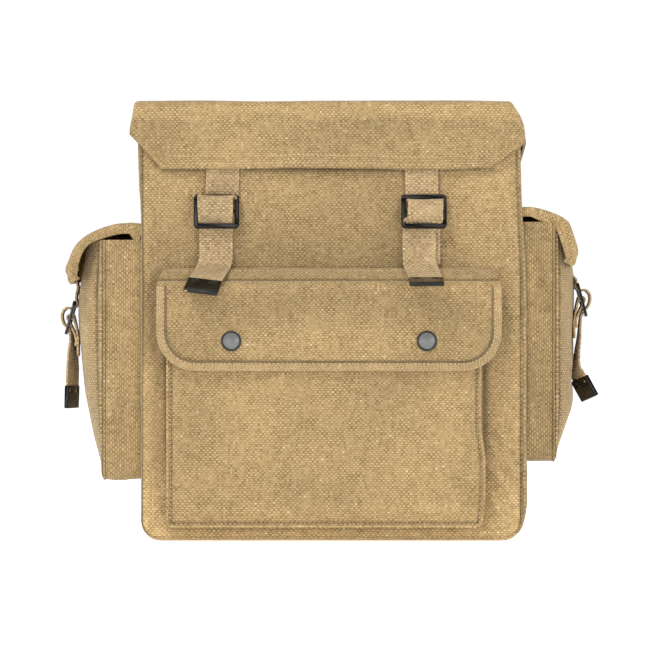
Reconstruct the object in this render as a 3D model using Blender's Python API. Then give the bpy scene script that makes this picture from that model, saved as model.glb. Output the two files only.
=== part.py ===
"""Canvas saddle bag: a boxed main compartment under a lid-like flap, a snapped front pocket, two
side pockets, and webbing straps that run through metal buckles.

Metres, +Z up. The bag stands on z = 0, its front faces -Y, and its left side is -X. Every hinge line
has an empty of its own, which the pieces that turn about it hang from.
"""

import math

import bmesh
import bpy
from mathutils import Matrix, Vector

# ---------------------------------------------------------------- driving dimensions, in metres

CANVAS = 0.0016  # thickness of the bag's cloth
SEAM_GAP = 0.0003  # daylight kept between pieces that touch
FOLD_STEPS = 3  # segments in each small fold

BODY_WIDTH = 0.296
BODY_DEPTH = 0.125
BODY_HEIGHT = 0.336
BODY_CORNER = 0.008  # radius of the two bottom corners

LID_SIDE_EASE = 0.0016  # air between the lid's sides and the body's
LID_FRONT_EASE = 0.0026  # room for a strap end between the lid and the front
LID_DROP = 0.0511  # how far the lid's front hangs down
LID_CORNER_DROP = 0.025  # where the slanted corner meets the side
LID_BACK_DROP = 0.030
LID_CORNER_CUT = 0.022  # sideways reach of the slanted corner
LID_FOLD = 0.004

POCKET_WIDTH = 0.245
POCKET_BOTTOM = 0.0108
POCKET_TOP = 0.176
POCKET_GUSSET_TOP = 0.195
POCKET_DEPTH = 0.016
POCKET_SHIFT = -0.0025  # the pocket sits a little to the left
POCKET_CORNER = 0.006

POCKET_FLAP_WIDTH = 0.265
POCKET_FLAP_FOLD = 0.1996  # height of the fold it hinges on
POCKET_FLAP_BOTTOM = 0.131
POCKET_FLAP_CORNER = 0.030
POCKET_FLAP_STANDOFF = 0.0044  # room for a snap between flap and pocket
BAND_RISE = 0.0112  # from the fold up to the sewn edge
BINDING_WIDTH = 0.008
BINDING = 0.0008

SNAP_SPACING = 0.150
SNAP_HEIGHT = 0.154
SNAP_CAP_RADIUS = 0.0076
SNAP_CAP_HEIGHT = 0.0012
SNAP_SOCKET_RADIUS = 0.0060
SNAP_BORE_RADIUS = 0.0044
SNAP_HEAD_RADIUS = 0.0032
SNAP_BARREL_RADIUS = 0.0022
SNAP_PIN_RADIUS = 0.0014
SNAP_POST_RADIUS = 0.0050

WEBBING = 0.0015  # thickness of the straps
STRAP_WIDTH = 0.0254
BUCKLE_WIDTH = 0.035
BUCKLE_HEIGHT = 0.027
BUCKLE_BAR = 0.0036  # width of the frame's bars
BUCKLE_THICKNESS = 0.0022
BUCKLE_CORNER = 0.003
BUCKLE_TILT = math.radians(15)
BUCKLE_PLAY = math.radians(5)  # how far it rocks upright before it meets the strap
BAR_RADIUS = 0.0013  # round centre bar
BAR_PLAY = 0.0004
TIP_LENGTH = 0.018
TIP_SHEET = 0.0006
STRAP_BULGE = 0.0026  # slack of the strap over the centre bar
STRAP_FOLD = 0.0022  # radius of its bends

FRONT_BUCKLE_HEIGHT = 0.2535
FRONT_BUCKLE_X = {"left": -0.0866, "right": 0.0730}
CHAPE_LENGTH = {"front": 0.040, "side": 0.030, "saddle": 0.040}
CHAPE_FOLD_LENGTH = 0.022

SIDE_POCKET_LENGTH = 0.100  # front to back
SIDE_POCKET_HEIGHT = 0.1835
SIDE_POCKET_BOTTOM = {"left": 0.0485, "right": 0.0625}
SIDE_POCKET_GUSSET = 0.027
SIDE_POCKET_BULGE = {"left": 0.020, "right": 0.0155}
SIDE_POCKET_FILL = {"left": 0.115, "right": 0.052}  # height at which it is filled out
SIDE_POCKET_CORNER = 0.010
SIDE_BUCKLE_ABOVE_BOTTOM = 0.1235
SIDE_FLAP_RISE = 0.0125  # of its sewn edge over the pocket's mouth
SIDE_FLAP_DROP = 0.034  # of its free edge below the mouth
SIDE_FLAP_BELLY = 0.0088  # how far it stands out past the pocket, and its free edge
SIDE_FLAP_HEM = 0.0055
SIDE_FLAP_OVERHANG = 0.003
SIDE_FLAP_LIP = 0.008

PATCH_WIDTH = 0.220
PATCH_HEIGHT = 0.058
PATCH_TOP = 0.322
SADDLE_STRAP_SPACING = 0.150
SADDLE_BUCKLE_HEIGHT = 0.232
SADDLE_LOOP_ROOM = 0.0115  # what passes between strap and patch
KEEPER_WIDTH = 0.012
SEAT_POST_LOOP_HEIGHT = 0.086
SEAT_POST_LOOP_SPAN = 0.044
SEAT_POST_LOOP_ROOM = 0.011

# ---------------------------------------------------------------- worked out from the above

HALF_WIDTH = BODY_WIDTH / 2
HALF_DEPTH = BODY_DEPTH / 2
SIDE_SIGN = {"left": -1, "right": 1}

POCKET_FACE = HALF_DEPTH + SEAM_GAP + POCKET_DEPTH  # outer face, measured outwards
FLAP_INNER = POCKET_FACE + POCKET_FLAP_STANDOFF
FLAP_FACE = FLAP_INNER + CANVAS

BAR_INNER = BUCKLE_HEIGHT / 2 - BUCKLE_BAR  # centre bar to an end bar's inner edge
BAR_OUT = (
    BUCKLE_HEIGHT / 2 * math.sin(BUCKLE_TILT)
    + BUCKLE_THICKNESS / 2 * math.cos(BUCKLE_TILT)
    + WEBBING
    + 2 * SEAM_GAP
)
WRAP_RADIUS = BAR_RADIUS + BAR_PLAY + WEBBING / 2
TIP_THICKNESS = WEBBING + 2 * (SEAM_GAP + TIP_SHEET)

# ---------------------------------------------------------------- materials


def paint(name, colour, roughness, metallic):
    """A Principled BSDF of one colour."""
    material = bpy.data.materials.new(name)
    material.use_nodes = True
    shader = material.node_tree.nodes["Principled BSDF"]
    shader.inputs["Base Color"].default_value = (*colour, 1.0)
    shader.inputs["Roughness"].default_value = roughness
    shader.inputs["Metallic"].default_value = metallic
    return material


# ---------------------------------------------------------------- shapes


def add_object(name, mesh_maker, material, parent=None, location=(0, 0, 0)):
    """Links a mesh as a named object, with its faces turned outwards."""
    bmesh.ops.recalc_face_normals(mesh_maker, faces=mesh_maker.faces)
    mesh = bpy.data.meshes.new(name)
    mesh_maker.to_mesh(mesh)
    mesh_maker.free()
    mesh.materials.append(material)
    made = bpy.data.objects.new(name, mesh)
    bpy.context.collection.objects.link(made)
    made.parent = parent
    made.location = location
    return made


def add_empty(name, location, turn=0.0, parent=None):
    empty = bpy.data.objects.new(name, None)
    bpy.context.collection.objects.link(empty)
    empty.location = location
    empty.rotation_euler = (0, 0, turn)
    empty.parent = parent
    return empty


def hang_on(made, empty):
    """Gives a mesh modelled in the bag's own coordinates the empty as its origin."""
    made.data.transform(Matrix.Translation(-empty.location))
    made.parent = empty
    return made


def rounded_box_outline(low, high, bottom_radius, top_radius=0.0, steps=4):
    """Anticlockwise outline of a rectangle whose bottom and top corners are rounded."""
    corners = [
        (low[0], low[1], bottom_radius, 180),
        (high[0], low[1], bottom_radius, 270),
        (high[0], high[1], top_radius, 0),
        (low[0], high[1], top_radius, 90),
    ]
    outline = []
    for x, z, radius, start in corners:
        if radius <= 0:
            outline.append((x, z))
            continue
        cx = x + (radius if x == low[0] else -radius)
        cz = z + (radius if z == low[1] else -radius)
        for step in range(steps + 1):
            angle = math.radians(start + 90 * step / steps)
            outline.append((cx + radius * math.cos(angle), cz + radius * math.sin(angle)))
    return outline


def u_path(low, high, radius, inset, steps=6):
    """Down the left side, round the bottom and up the right side, kept inset inside the box."""
    x0, x1, z0 = low[0] + inset, high[0] - inset, low[1] + inset
    turn = max(radius - inset, SEAM_GAP)
    path = [(x0, high[1])]
    for cx, start in ((x0 + turn, 180), (x1 - turn, 270)):
        for step in range(steps + 1):
            angle = math.radians(start + 90 * step / steps)
            path.append((cx + turn * math.cos(angle), z0 + turn + turn * math.sin(angle)))
    path.append((x1, high[1]))
    return path


def prism(name, outline, across, start, end, material):
    """A flat outline given a thickness. across is the axis it is extruded along."""
    place = {
        "X": lambda u, v, depth: (depth, u, v),
        "Y": lambda u, v, depth: (u, depth, v),
    }[across]
    maker = bmesh.new()
    face = maker.faces.new([maker.verts.new(place(u, v, start)) for u, v in outline])
    grown = bmesh.ops.extrude_face_region(maker, geom=[face])
    moved = [item for item in grown["geom"] if isinstance(item, bmesh.types.BMVert)]
    bmesh.ops.translate(maker, verts=moved, vec=place(0, 0, end - start))
    return add_object(name, maker, material)


def turned(name, profile, axis_point, material, steps=20):
    """A closed profile of (radius, outward) points spun about a line along Y."""
    maker = bmesh.new()
    verts = [maker.verts.new((radius, -outward, 0)) for radius, outward in profile]
    edges = [maker.edges.new((verts[i - 1], verts[i])) for i in range(len(verts))]
    bmesh.ops.spin(
        maker,
        geom=verts + edges,
        cent=(0, 0, 0),
        axis=(0, 1, 0),
        angle=2 * math.pi,
        steps=steps,
        use_merge=True,
    )
    bmesh.ops.remove_doubles(maker, verts=maker.verts, dist=1e-6)
    bmesh.ops.dissolve_degenerate(maker, edges=maker.edges, dist=1e-6)
    made = add_object(name, maker, material)
    made.data.transform(Matrix.Translation(axis_point))
    made.data.shade_smooth()
    made.data.set_sharp_from_angle(angle=math.radians(40))
    return made


def fillet(points, radius, steps=FOLD_STEPS):
    """Rounds each inner corner of a path of equal-length tuples, and keeps straight ones as is."""
    rounded = [Vector(points[0])]
    for before, corner, after in zip(points, points[1:], points[2:]):
        before, corner, after = Vector(before), Vector(corner), Vector(after)
        if (corner - before).angle(after - corner) < math.radians(0.5):
            rounded.append(corner)
            continue
        reach_in = min(radius, (corner - before).length * 0.45)
        reach_out = min(radius, (after - corner).length * 0.45)
        first = corner + (before - corner).normalized() * reach_in
        last = corner + (after - corner).normalized() * reach_out
        for step in range(steps + 1):
            s = step / steps
            rounded.append(first * (1 - s) ** 2 + corner * (2 * s * (1 - s)) + last * s**2)
    rounded.append(Vector(points[-1]))
    return rounded


def ribbon_frames(path):
    """Centre, side, normal and tangent along a path of (sideways, outward, height, twist)."""
    centres = [Vector((p[0], -p[1], p[2])) for p in path]
    frames = []
    for i, centre in enumerate(centres):
        into = centre - centres[i - 1] if i else centres[1] - centre
        out = centres[i + 1] - centre if i + 1 < len(centres) else into
        tangent = (into.normalized() + out.normalized()).normalized()
        side = Matrix.Rotation(path[i][3], 3, tangent) @ Vector((1, 0, 0))
        normal = tangent.cross(side).normalized()
        widen = 1 / max(0.6, math.cos(into.angle(out, 0) / 2))
        frames.append((centre, side, normal, tangent, widen))
    return frames


def ribbon_mesh(frames, width, thickness):
    """A strip of webbing or cloth with a rectangular section along the frames."""
    maker = bmesh.new()
    rings = []
    for centre, side, normal, _, widen in frames:
        across, up = side * (width / 2), normal * (thickness / 2 * widen)
        corners = (across + up, up - across, -across - up, across - up)
        rings.append([maker.verts.new(centre + corner) for corner in corners])
    for first, second in zip(rings, rings[1:]):
        for i in range(4):
            maker.faces.new((first[i - 1], first[i], second[i], second[i - 1]))
    maker.faces.new(rings[0])
    maker.faces.new(rings[-1])
    return maker


def flat_path(pairs, radius):
    """A path with no sideways travel and no twist, from (outward, height) pairs."""
    return fillet([(0, outward, height, 0) for outward, height in pairs], radius)


def cut_hole(made, radius, x, z, outer, inner):
    """Cuts a round hole through a panel that lies across Y."""
    depth = outer - inner
    bpy.ops.mesh.primitive_cylinder_add(
        vertices=16,
        radius=radius,
        depth=depth * 4,
        location=(x, -(outer + inner) / 2, z),
        rotation=(math.pi / 2, 0, 0),
    )
    cutter = bpy.context.object
    cutter.name = f"{made.name}_hole_cutter"
    cutter.hide_render = True
    cutter.display_type = "WIRE"
    hole = made.modifiers.new("snap_hole", "BOOLEAN")
    hole.operation = "DIFFERENCE"
    hole.solver = "EXACT"
    hole.object = cutter


# ---------------------------------------------------------------- main compartment


def make_body(cloth):
    """Front, back, two sides and a base, seamed along their edges."""
    outline = rounded_box_outline((-HALF_WIDTH, 0), (HALF_WIDTH, BODY_HEIGHT), BODY_CORNER)
    prism("front_panel", outline, "Y", -HALF_DEPTH, -HALF_DEPTH + CANVAS, cloth)
    prism("back_panel", outline, "Y", HALF_DEPTH - CANVAS, HALF_DEPTH, cloth)
    inside = HALF_DEPTH - CANVAS - SEAM_GAP
    for side, sign in SIDE_SIGN.items():
        arc = [
            (math.cos(math.radians(a)), math.sin(math.radians(a))) for a in range(0, -91, -15)
        ]
        centre_x = HALF_WIDTH - BODY_CORNER
        outer = [(centre_x + BODY_CORNER * c, BODY_CORNER + BODY_CORNER * s) for c, s in arc]
        turn = BODY_CORNER - CANVAS
        inner = [(centre_x + turn * c, BODY_CORNER + turn * s) for c, s in arc]
        top = [(HALF_WIDTH - CANVAS, BODY_HEIGHT), (HALF_WIDTH, BODY_HEIGHT)]
        profile = [(sign * x, z) for x, z in top + outer + inner[::-1]]
        prism(f"side_panel_{side}", profile, "Y", -inside, inside, cloth)
    reach = HALF_WIDTH - BODY_CORNER - SEAM_GAP
    base = [(-reach, 0), (reach, 0), (reach, CANVAS), (-reach, CANVAS)]
    prism("base_panel", base, "Y", -inside, inside, cloth)


def make_main_flap(cloth):
    """Lid of one cloth, boxed at its front corners and hinged along the top of the back."""
    hinge = add_empty("main_flap_hinge", (0, HALF_DEPTH, BODY_HEIGHT + SEAM_GAP))
    top = BODY_HEIGHT + 4 * SEAM_GAP + CANVAS
    wide = HALF_WIDTH + LID_SIDE_EASE + CANVAS
    front = -(HALF_DEPTH + LID_FRONT_EASE + CANVAS)
    back = HALF_DEPTH - SEAM_GAP
    corner, bottom = top - LID_CORNER_DROP, top - LID_DROP
    points = {
        "back": (wide, back, top),
        "fold": (wide, front, top),
        "corner": (wide, front, corner),
        "slant": (wide - LID_CORNER_CUT, front, bottom),
        "ear": (wide, back, top - LID_BACK_DROP),
    }
    maker = bmesh.new()
    right = {name: maker.verts.new(p) for name, p in points.items()}
    left = {name: maker.verts.new((-p[0], p[1], p[2])) for name, p in points.items()}
    maker.faces.new((left["back"], left["fold"], right["fold"], right["back"]))
    front_right = [right[n] for n in ("fold", "corner", "slant")]
    front_left = [left[n] for n in ("slant", "corner", "fold")]
    maker.faces.new(front_right + front_left)
    for verts in (left, right):
        maker.faces.new([verts[n] for n in ("back", "fold", "corner", "ear")])
    flap = add_object("main_flap", maker, cloth)
    flap.data.flip_normals() if flap.data.polygons[0].normal.z < 0 else None
    fold = flap.modifiers.new("folds", "BEVEL")
    fold.width = LID_FOLD
    fold.segments = FOLD_STEPS
    thick = flap.modifiers.new("cloth", "SOLIDIFY")
    thick.thickness = CANVAS
    thick.offset = -1
    thick.use_even_offset = True
    hang_on(flap, hinge)
    return hinge


# ---------------------------------------------------------------- front pocket and its flap


def make_front_pocket(cloth):
    """Patch pocket: a panel held off the front by a narrow gusset, open at the top."""
    low = (POCKET_SHIFT - POCKET_WIDTH / 2, POCKET_BOTTOM)
    high = (POCKET_SHIFT + POCKET_WIDTH / 2, POCKET_TOP)
    outline = rounded_box_outline(low, high, POCKET_CORNER)
    inner = POCKET_FACE - CANVAS
    panel = prism("front_pocket_panel", outline, "Y", -POCKET_FACE, -inner, cloth)
    for x in snap_places():
        cut_hole(panel, SNAP_PIN_RADIUS + SEAM_GAP, x, SNAP_HEIGHT, POCKET_FACE, inner)
    high = (high[0], POCKET_GUSSET_TOP)
    strip = u_path(low, high, POCKET_CORNER, 0)
    strip += u_path(low, high, POCKET_CORNER, CANVAS)[::-1]
    gusset_face = inner - SEAM_GAP
    prism("front_pocket_gusset", strip, "Y", -gusset_face, -HALF_DEPTH - SEAM_GAP, cloth)


def snap_places():
    return (-SNAP_SPACING / 2, SNAP_SPACING / 2)


def make_pocket_flap(cloth, tape):
    """The sewn band stays on the body. The flap hangs from the fold, with a bound edge."""
    half = POCKET_FLAP_WIDTH / 2
    lift = CANVAS / 2 + SEAM_GAP
    seam = POCKET_FLAP_FOLD + BAND_RISE
    band_end = FLAP_FACE - HALF_DEPTH - CANVAS - 1.5 * SEAM_GAP - CANVAS / 4
    profile = [
        (lift, seam),
        (lift, seam - BAND_RISE / 4),
        (band_end, POCKET_FLAP_FOLD + CANVAS / 4),
    ]
    frames = ribbon_frames(flat_path(profile, 0.002))
    band = add_object("front_pocket_flap_band", ribbon_mesh(frames, 2 * half, CANVAS), cloth)
    band.data.transform(Matrix.Translation((0, -HALF_DEPTH, 0)))

    hinge = add_empty("pocket_flap_hinge", (0, -(FLAP_FACE - CANVAS / 2), POCKET_FLAP_FOLD))
    top = POCKET_FLAP_FOLD - 2 * SEAM_GAP
    edge = BINDING + SEAM_GAP
    low, high = (-half + edge, POCKET_FLAP_BOTTOM + edge), (half - edge, top)
    outline = rounded_box_outline(low, high, POCKET_FLAP_CORNER - edge, steps=8)
    panel = prism("front_pocket_flap", outline, "Y", -FLAP_FACE, -FLAP_INNER, cloth)
    for x in snap_places():
        cut_hole(panel, SNAP_BARREL_RADIUS + SEAM_GAP, x, SNAP_HEIGHT, FLAP_FACE, FLAP_INNER)
    hang_on(panel, hinge)

    outer, inner = FLAP_FACE + edge, FLAP_INNER - edge
    section = [
        (0, outer),
        (BINDING_WIDTH, outer),
        (BINDING_WIDTH, outer - BINDING),
        (BINDING, outer - BINDING),
        (BINDING, inner + BINDING),
        (BINDING_WIDTH, inner + BINDING),
        (BINDING_WIDTH, inner),
        (0, inner),
    ]
    low, high = (-half, POCKET_FLAP_BOTTOM), (half, top - CANVAS / 2)
    maker = bmesh.new()
    runs = []
    for inset, outward in section:
        path = u_path(low, high, POCKET_FLAP_CORNER, inset)
        runs.append([maker.verts.new((x, -outward, z)) for x, z in path])
    for first, second in zip(runs, runs[1:] + runs[:1]):
        for i in range(len(first) - 1):
            maker.faces.new((first[i], first[i + 1], second[i + 1], second[i]))
    maker.faces.new([run[0] for run in runs])
    maker.faces.new([run[-1] for run in runs])
    hang_on(add_object("front_pocket_flap_binding", maker, tape), hinge)
    return hinge


def make_snaps(metal, flap_hinge):
    """Press studs: cap and socket ride on the flap, stud and post are set in the pocket."""
    cap_base = FLAP_FACE + SEAM_GAP
    socket_top = FLAP_INNER - SEAM_GAP
    flange = 0.0008
    stud_base = POCKET_FACE + SEAM_GAP
    socket_end = stud_base + flange + SEAM_GAP
    bore_floor = socket_top - 0.0010
    head_end = bore_floor - 2 * SEAM_GAP
    bore = SNAP_BARREL_RADIUS + SEAM_GAP
    pin_hole = SNAP_PIN_RADIUS + SEAM_GAP
    post_face = POCKET_FACE - CANVAS - SEAM_GAP
    cap = [
        (0, cap_base + SNAP_CAP_HEIGHT),
        (SNAP_CAP_RADIUS * 0.7, cap_base + SNAP_CAP_HEIGHT * 0.9),
        (SNAP_CAP_RADIUS * 0.95, cap_base + SNAP_CAP_HEIGHT * 0.55),
        (SNAP_CAP_RADIUS, cap_base),
        (SNAP_BARREL_RADIUS, cap_base),
        (SNAP_BARREL_RADIUS, bore_floor + SEAM_GAP),
        (0, bore_floor + SEAM_GAP),
    ]
    socket = [
        (bore, socket_top),
        (SNAP_SOCKET_RADIUS, socket_top),
        (SNAP_SOCKET_RADIUS, socket_end),
        (SNAP_BORE_RADIUS, socket_end),
        (SNAP_BORE_RADIUS, bore_floor),
        (bore, bore_floor),
    ]
    stud = [
        (pin_hole, stud_base),
        (SNAP_SOCKET_RADIUS * 0.92, stud_base),
        (SNAP_SOCKET_RADIUS * 0.92, stud_base + flange),
        (SNAP_HEAD_RADIUS, stud_base + flange),
        (SNAP_HEAD_RADIUS, head_end),
        (pin_hole, head_end),
    ]
    post = [
        (0, post_face - flange),
        (SNAP_POST_RADIUS, post_face - flange),
        (SNAP_POST_RADIUS, post_face),
        (SNAP_PIN_RADIUS, post_face),
        (SNAP_PIN_RADIUS, head_end - SEAM_GAP),
        (0, head_end - SEAM_GAP),
    ]
    for side, x in zip(SIDE_SIGN, snap_places()):
        centre = (x, 0, SNAP_HEIGHT)
        hang_on(turned(f"snap_{side}_cap", cap, centre, metal), flap_hinge)
        hang_on(turned(f"snap_{side}_socket", socket, centre, metal), flap_hinge)
        turned(f"snap_{side}_stud", stud, centre, metal)
        turned(f"snap_{side}_post", post, centre, metal)


# ---------------------------------------------------------------- buckled closures


def tangent_point(point, centre, radius, turn):
    """Where a line from point touches a circle. turn is +1 or -1 for the two sides."""
    offset = Vector(point) - Vector(centre)
    angle = math.atan2(offset.y, offset.x) + turn * math.acos(radius / offset.length)
    return angle


def arc(centre, radius, start, end, steps):
    return [
        (
            centre[0] + radius * math.cos(start + (end - start) * i / steps),
            centre[1] + radius * math.sin(start + (end - start) * i / steps),
        )
        for i in range(steps + 1)
    ]


def chape_path(length):
    """Webbing tab sewn flat, folded round the centre bar and stitched back on itself."""
    bar = (BAR_OUT, 0)
    under = SEAM_GAP + WEBBING / 2
    over = under + WEBBING + SEAM_GAP
    meet = -(BAR_INNER + 2 * WEBBING)
    start = tangent_point((under, meet), bar, WRAP_RADIUS, -1)
    end = tangent_point((over, meet), bar, WRAP_RADIUS, 1)
    wrap = arc(bar, WRAP_RADIUS, start % (2 * math.pi), end, 8)
    pairs = [(under, -length), (under, meet), *wrap, (over, meet)]
    pairs.append((over, -max(CHAPE_FOLD_LENGTH, -meet + WEBBING)))
    return [(0, outward, height, 0) for outward, height in pairs]


def strap_through_buckle():
    """Behind the top bar, over the centre bar and behind the bottom bar, top to bottom."""
    sine, cosine = math.sin(BUCKLE_TILT), math.cos(BUCKLE_TILT)
    clear = WEBBING / 2 + SEAM_GAP
    slip = BUCKLE_THICKNESS / 2
    behind_top = (clear, BAR_INNER * cosine - slip * sine - clear)
    bulge = (BAR_OUT + STRAP_BULGE * 0.65, 0)
    radius = WRAP_RADIUS + WEBBING + SEAM_GAP + STRAP_BULGE * 0.35
    upright = math.sin(BUCKLE_TILT - BUCKLE_PLAY)
    behind_bottom = (
        BAR_OUT + BAR_INNER * upright - slip * cosine - clear - SEAM_GAP,
        -BAR_INNER * cosine,
    )
    start = tangent_point(behind_top, bulge, radius, -1)
    end = tangent_point(behind_bottom, bulge, radius, 1)
    below = (3 * clear + WEBBING, -(BUCKLE_HEIGHT / 2 + 2 * WEBBING))
    top = (clear, BUCKLE_HEIGHT / 2 * cosine + WEBBING)
    return [top, behind_top, *arc(bulge, radius, start, end, 8), behind_bottom, below]


def make_buckle(name, metal, parent):
    """Rectangular frame with a round centre bar, tilted about that bar."""
    maker = bmesh.new()
    outer = rounded_box_outline(
        (-BUCKLE_WIDTH / 2, -BUCKLE_HEIGHT / 2),
        (BUCKLE_WIDTH / 2, BUCKLE_HEIGHT / 2),
        BUCKLE_CORNER,
        BUCKLE_CORNER,
        steps=3,
    )
    window = (BUCKLE_WIDTH / 2 - BUCKLE_BAR, BAR_INNER)
    inner_corner = BUCKLE_CORNER / 3
    inner = rounded_box_outline(
        (-window[0], -window[1]), window, inner_corner, inner_corner, steps=3
    )
    half = BUCKLE_THICKNESS / 2
    loops = [
        [maker.verts.new((x, depth, z)) for x, z in outline]
        for outline, depth in ((outer, -half), (outer, half), (inner, half), (inner, -half))
    ]
    for first, second in zip(loops, loops[1:] + loops[:1]):
        for i in range(len(first)):
            maker.faces.new((first[i - 1], first[i], second[i], second[i - 1]))
    frame = add_object(name, maker, metal, parent, (0, -BAR_OUT, 0))
    frame.rotation_euler = (-BUCKLE_TILT, 0, 0)
    bpy.ops.mesh.primitive_cylinder_add(
        vertices=16,
        radius=BAR_RADIUS,
        depth=BUCKLE_WIDTH - BUCKLE_BAR,
        rotation=(0, math.pi / 2, 0),
    )
    bar = bpy.context.object
    bar.name = f"{name}_bar"
    bar.parent = frame
    bar.hide_render = True
    bar.display_type = "WIRE"
    joined = frame.modifiers.new("centre_bar", "BOOLEAN")
    joined.operation = "UNION"
    joined.solver = "EXACT"
    joined.object = bar
    return frame


def make_tip(name, metal, frame, parent):
    """Sheet metal folded over the end of a strap: two legs and a closed nose."""
    centre, side, normal, tangent, _ = frame
    half, sheet = TIP_THICKNESS / 2, TIP_SHEET
    mouth = -(TIP_LENGTH - sheet - SEAM_GAP)
    nose = sheet + SEAM_GAP
    section = [
        (mouth, half),
        (nose, half),
        (nose, -half),
        (mouth, -half),
        (mouth, -half + sheet),
        (nose - sheet, -half + sheet),
        (nose - sheet, half - sheet),
        (mouth, half - sheet),
    ]
    reach = side * (STRAP_WIDTH / 2 + sheet)
    maker = bmesh.new()
    ends = [
        [maker.verts.new(centre + tangent * along + normal * up + across) for along, up in section]
        for across in (-reach, reach)
    ]
    maker.faces.new(ends[0])
    maker.faces.new(ends[1])
    for i in range(len(section)):
        maker.faces.new((ends[0][i - 1], ends[0][i], ends[1][i], ends[1][i - 1]))
    made = add_object(name, maker, metal)
    made.data.transform(Matrix.Translation(-parent.location))
    made.parent = parent
    return made


def make_closure(name, place, turn, chape_length, above, below, strap_material, metal):
    """Chape, buckle, strap and tip. place is on the cloth's face, behind the centre bar.

    above and below are the strap's points over and under the buckle, each of them
    (sideways, outward, height, twist) from that place.
    """
    base = add_empty(f"{name}_closure", place, turn)
    chape_frames = ribbon_frames(chape_path(chape_length))
    add_object(f"{name}_chape", ribbon_mesh(chape_frames, STRAP_WIDTH, WEBBING), strap_material, base)
    make_buckle(f"{name}_buckle", metal, base)
    middle = [(0, outward, height, 0) for outward, height in strap_through_buckle()]
    path = fillet([*above, *middle, *below], STRAP_FOLD)
    frames = ribbon_frames(path)
    add_object(f"{name}_strap", ribbon_mesh(frames, STRAP_WIDTH, WEBBING), strap_material, base)
    pivot = middle[-2]
    end = add_empty(f"{name}_strap_pivot", (0, -pivot[1], pivot[2]), parent=base)
    make_tip(f"{name}_strap_tip", metal, frames[-1], end)
    return base


def straight_end(points, length):
    """Adds a straight stretch for the tip, in the direction of a path's last two points."""
    last, before = Vector(points[-1][:3]), Vector(points[-2][:3])
    along = (last - before).normalized()
    turn = points[-1][3]
    return [*points, (*(last + along * STRAP_FOLD), turn), (*(last + along * length), turn)]


# ---------------------------------------------------------------- front closures


def make_front_closures(strap_material, metal):
    """The lid's two straps. Their ends lie out over the pocket flap's fold."""
    lid_bottom = BODY_HEIGHT + 4 * SEAM_GAP + CANVAS - LID_DROP
    sewn_top = lid_bottom + 0.018 - FRONT_BUCKLE_HEIGHT
    flat = SEAM_GAP * 2 + WEBBING / 2
    fold = POCKET_FLAP_FOLD - FRONT_BUCKLE_HEIGHT
    fold_out = FLAP_FACE - HALF_DEPTH
    shapes = {
        "left": {"top": 0.0042, "sway": -0.0005, "end": -0.0088, "pitch": 35},
        "right": {"top": -0.0018, "sway": -0.0050, "end": 0.0002, "pitch": 22},
    }
    for side, shape in shapes.items():
        top, sway, end = shape["top"], shape["sway"], shape["end"]
        above = [(top, flat, sewn_top, 0), (top, flat, sewn_top / 2, 0)]
        rest = [
            (sway, 0.0044, fold + 0.0215, 0),
            (sway, 0.0050, fold + 0.0135, 0),
            (sway + (end - sway) * 0.4, fold_out * 0.45, fold + 0.0085, 0),
            (sway + (end - sway) * 0.7, fold_out + 0.0006, fold + 0.0022, 0),
        ]
        pitch = math.radians(shape["pitch"])
        last = rest[-1]
        mouth = (end, last[1] + 0.0014, last[2], 0)
        along = Vector((0, math.cos(pitch), -math.sin(pitch), 0))
        flat_from = Vector(mouth) + along * STRAP_FOLD * 1.5
        nose = flat_from + along * TIP_LENGTH
        place = (FRONT_BUCKLE_X[side], -HALF_DEPTH, FRONT_BUCKLE_HEIGHT)
        below = [*rest, mouth, flat_from, nose]
        length = CHAPE_LENGTH["front"]
        make_closure(f"front_{side}", place, 0, length, above, below, strap_material, metal)


# ---------------------------------------------------------------- side pockets


def pocket_bulge(share, from_bottom, from_top, side):
    """How far the side pocket's panel stands out past its seam.

    share is -1 to 1 from the back edge to the front edge; the rest are heights.
    """
    low = min(1, max(0, from_bottom / SIDE_POCKET_FILL[side]))
    high = min(1, max(0, from_top / 0.042))
    fullness = math.sin(low * math.pi / 2) * (0.65 + 0.35 * (1 - (1 - high) ** 2))
    return SIDE_POCKET_BULGE[side] * fullness * (1 - abs(share) ** 4)


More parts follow.
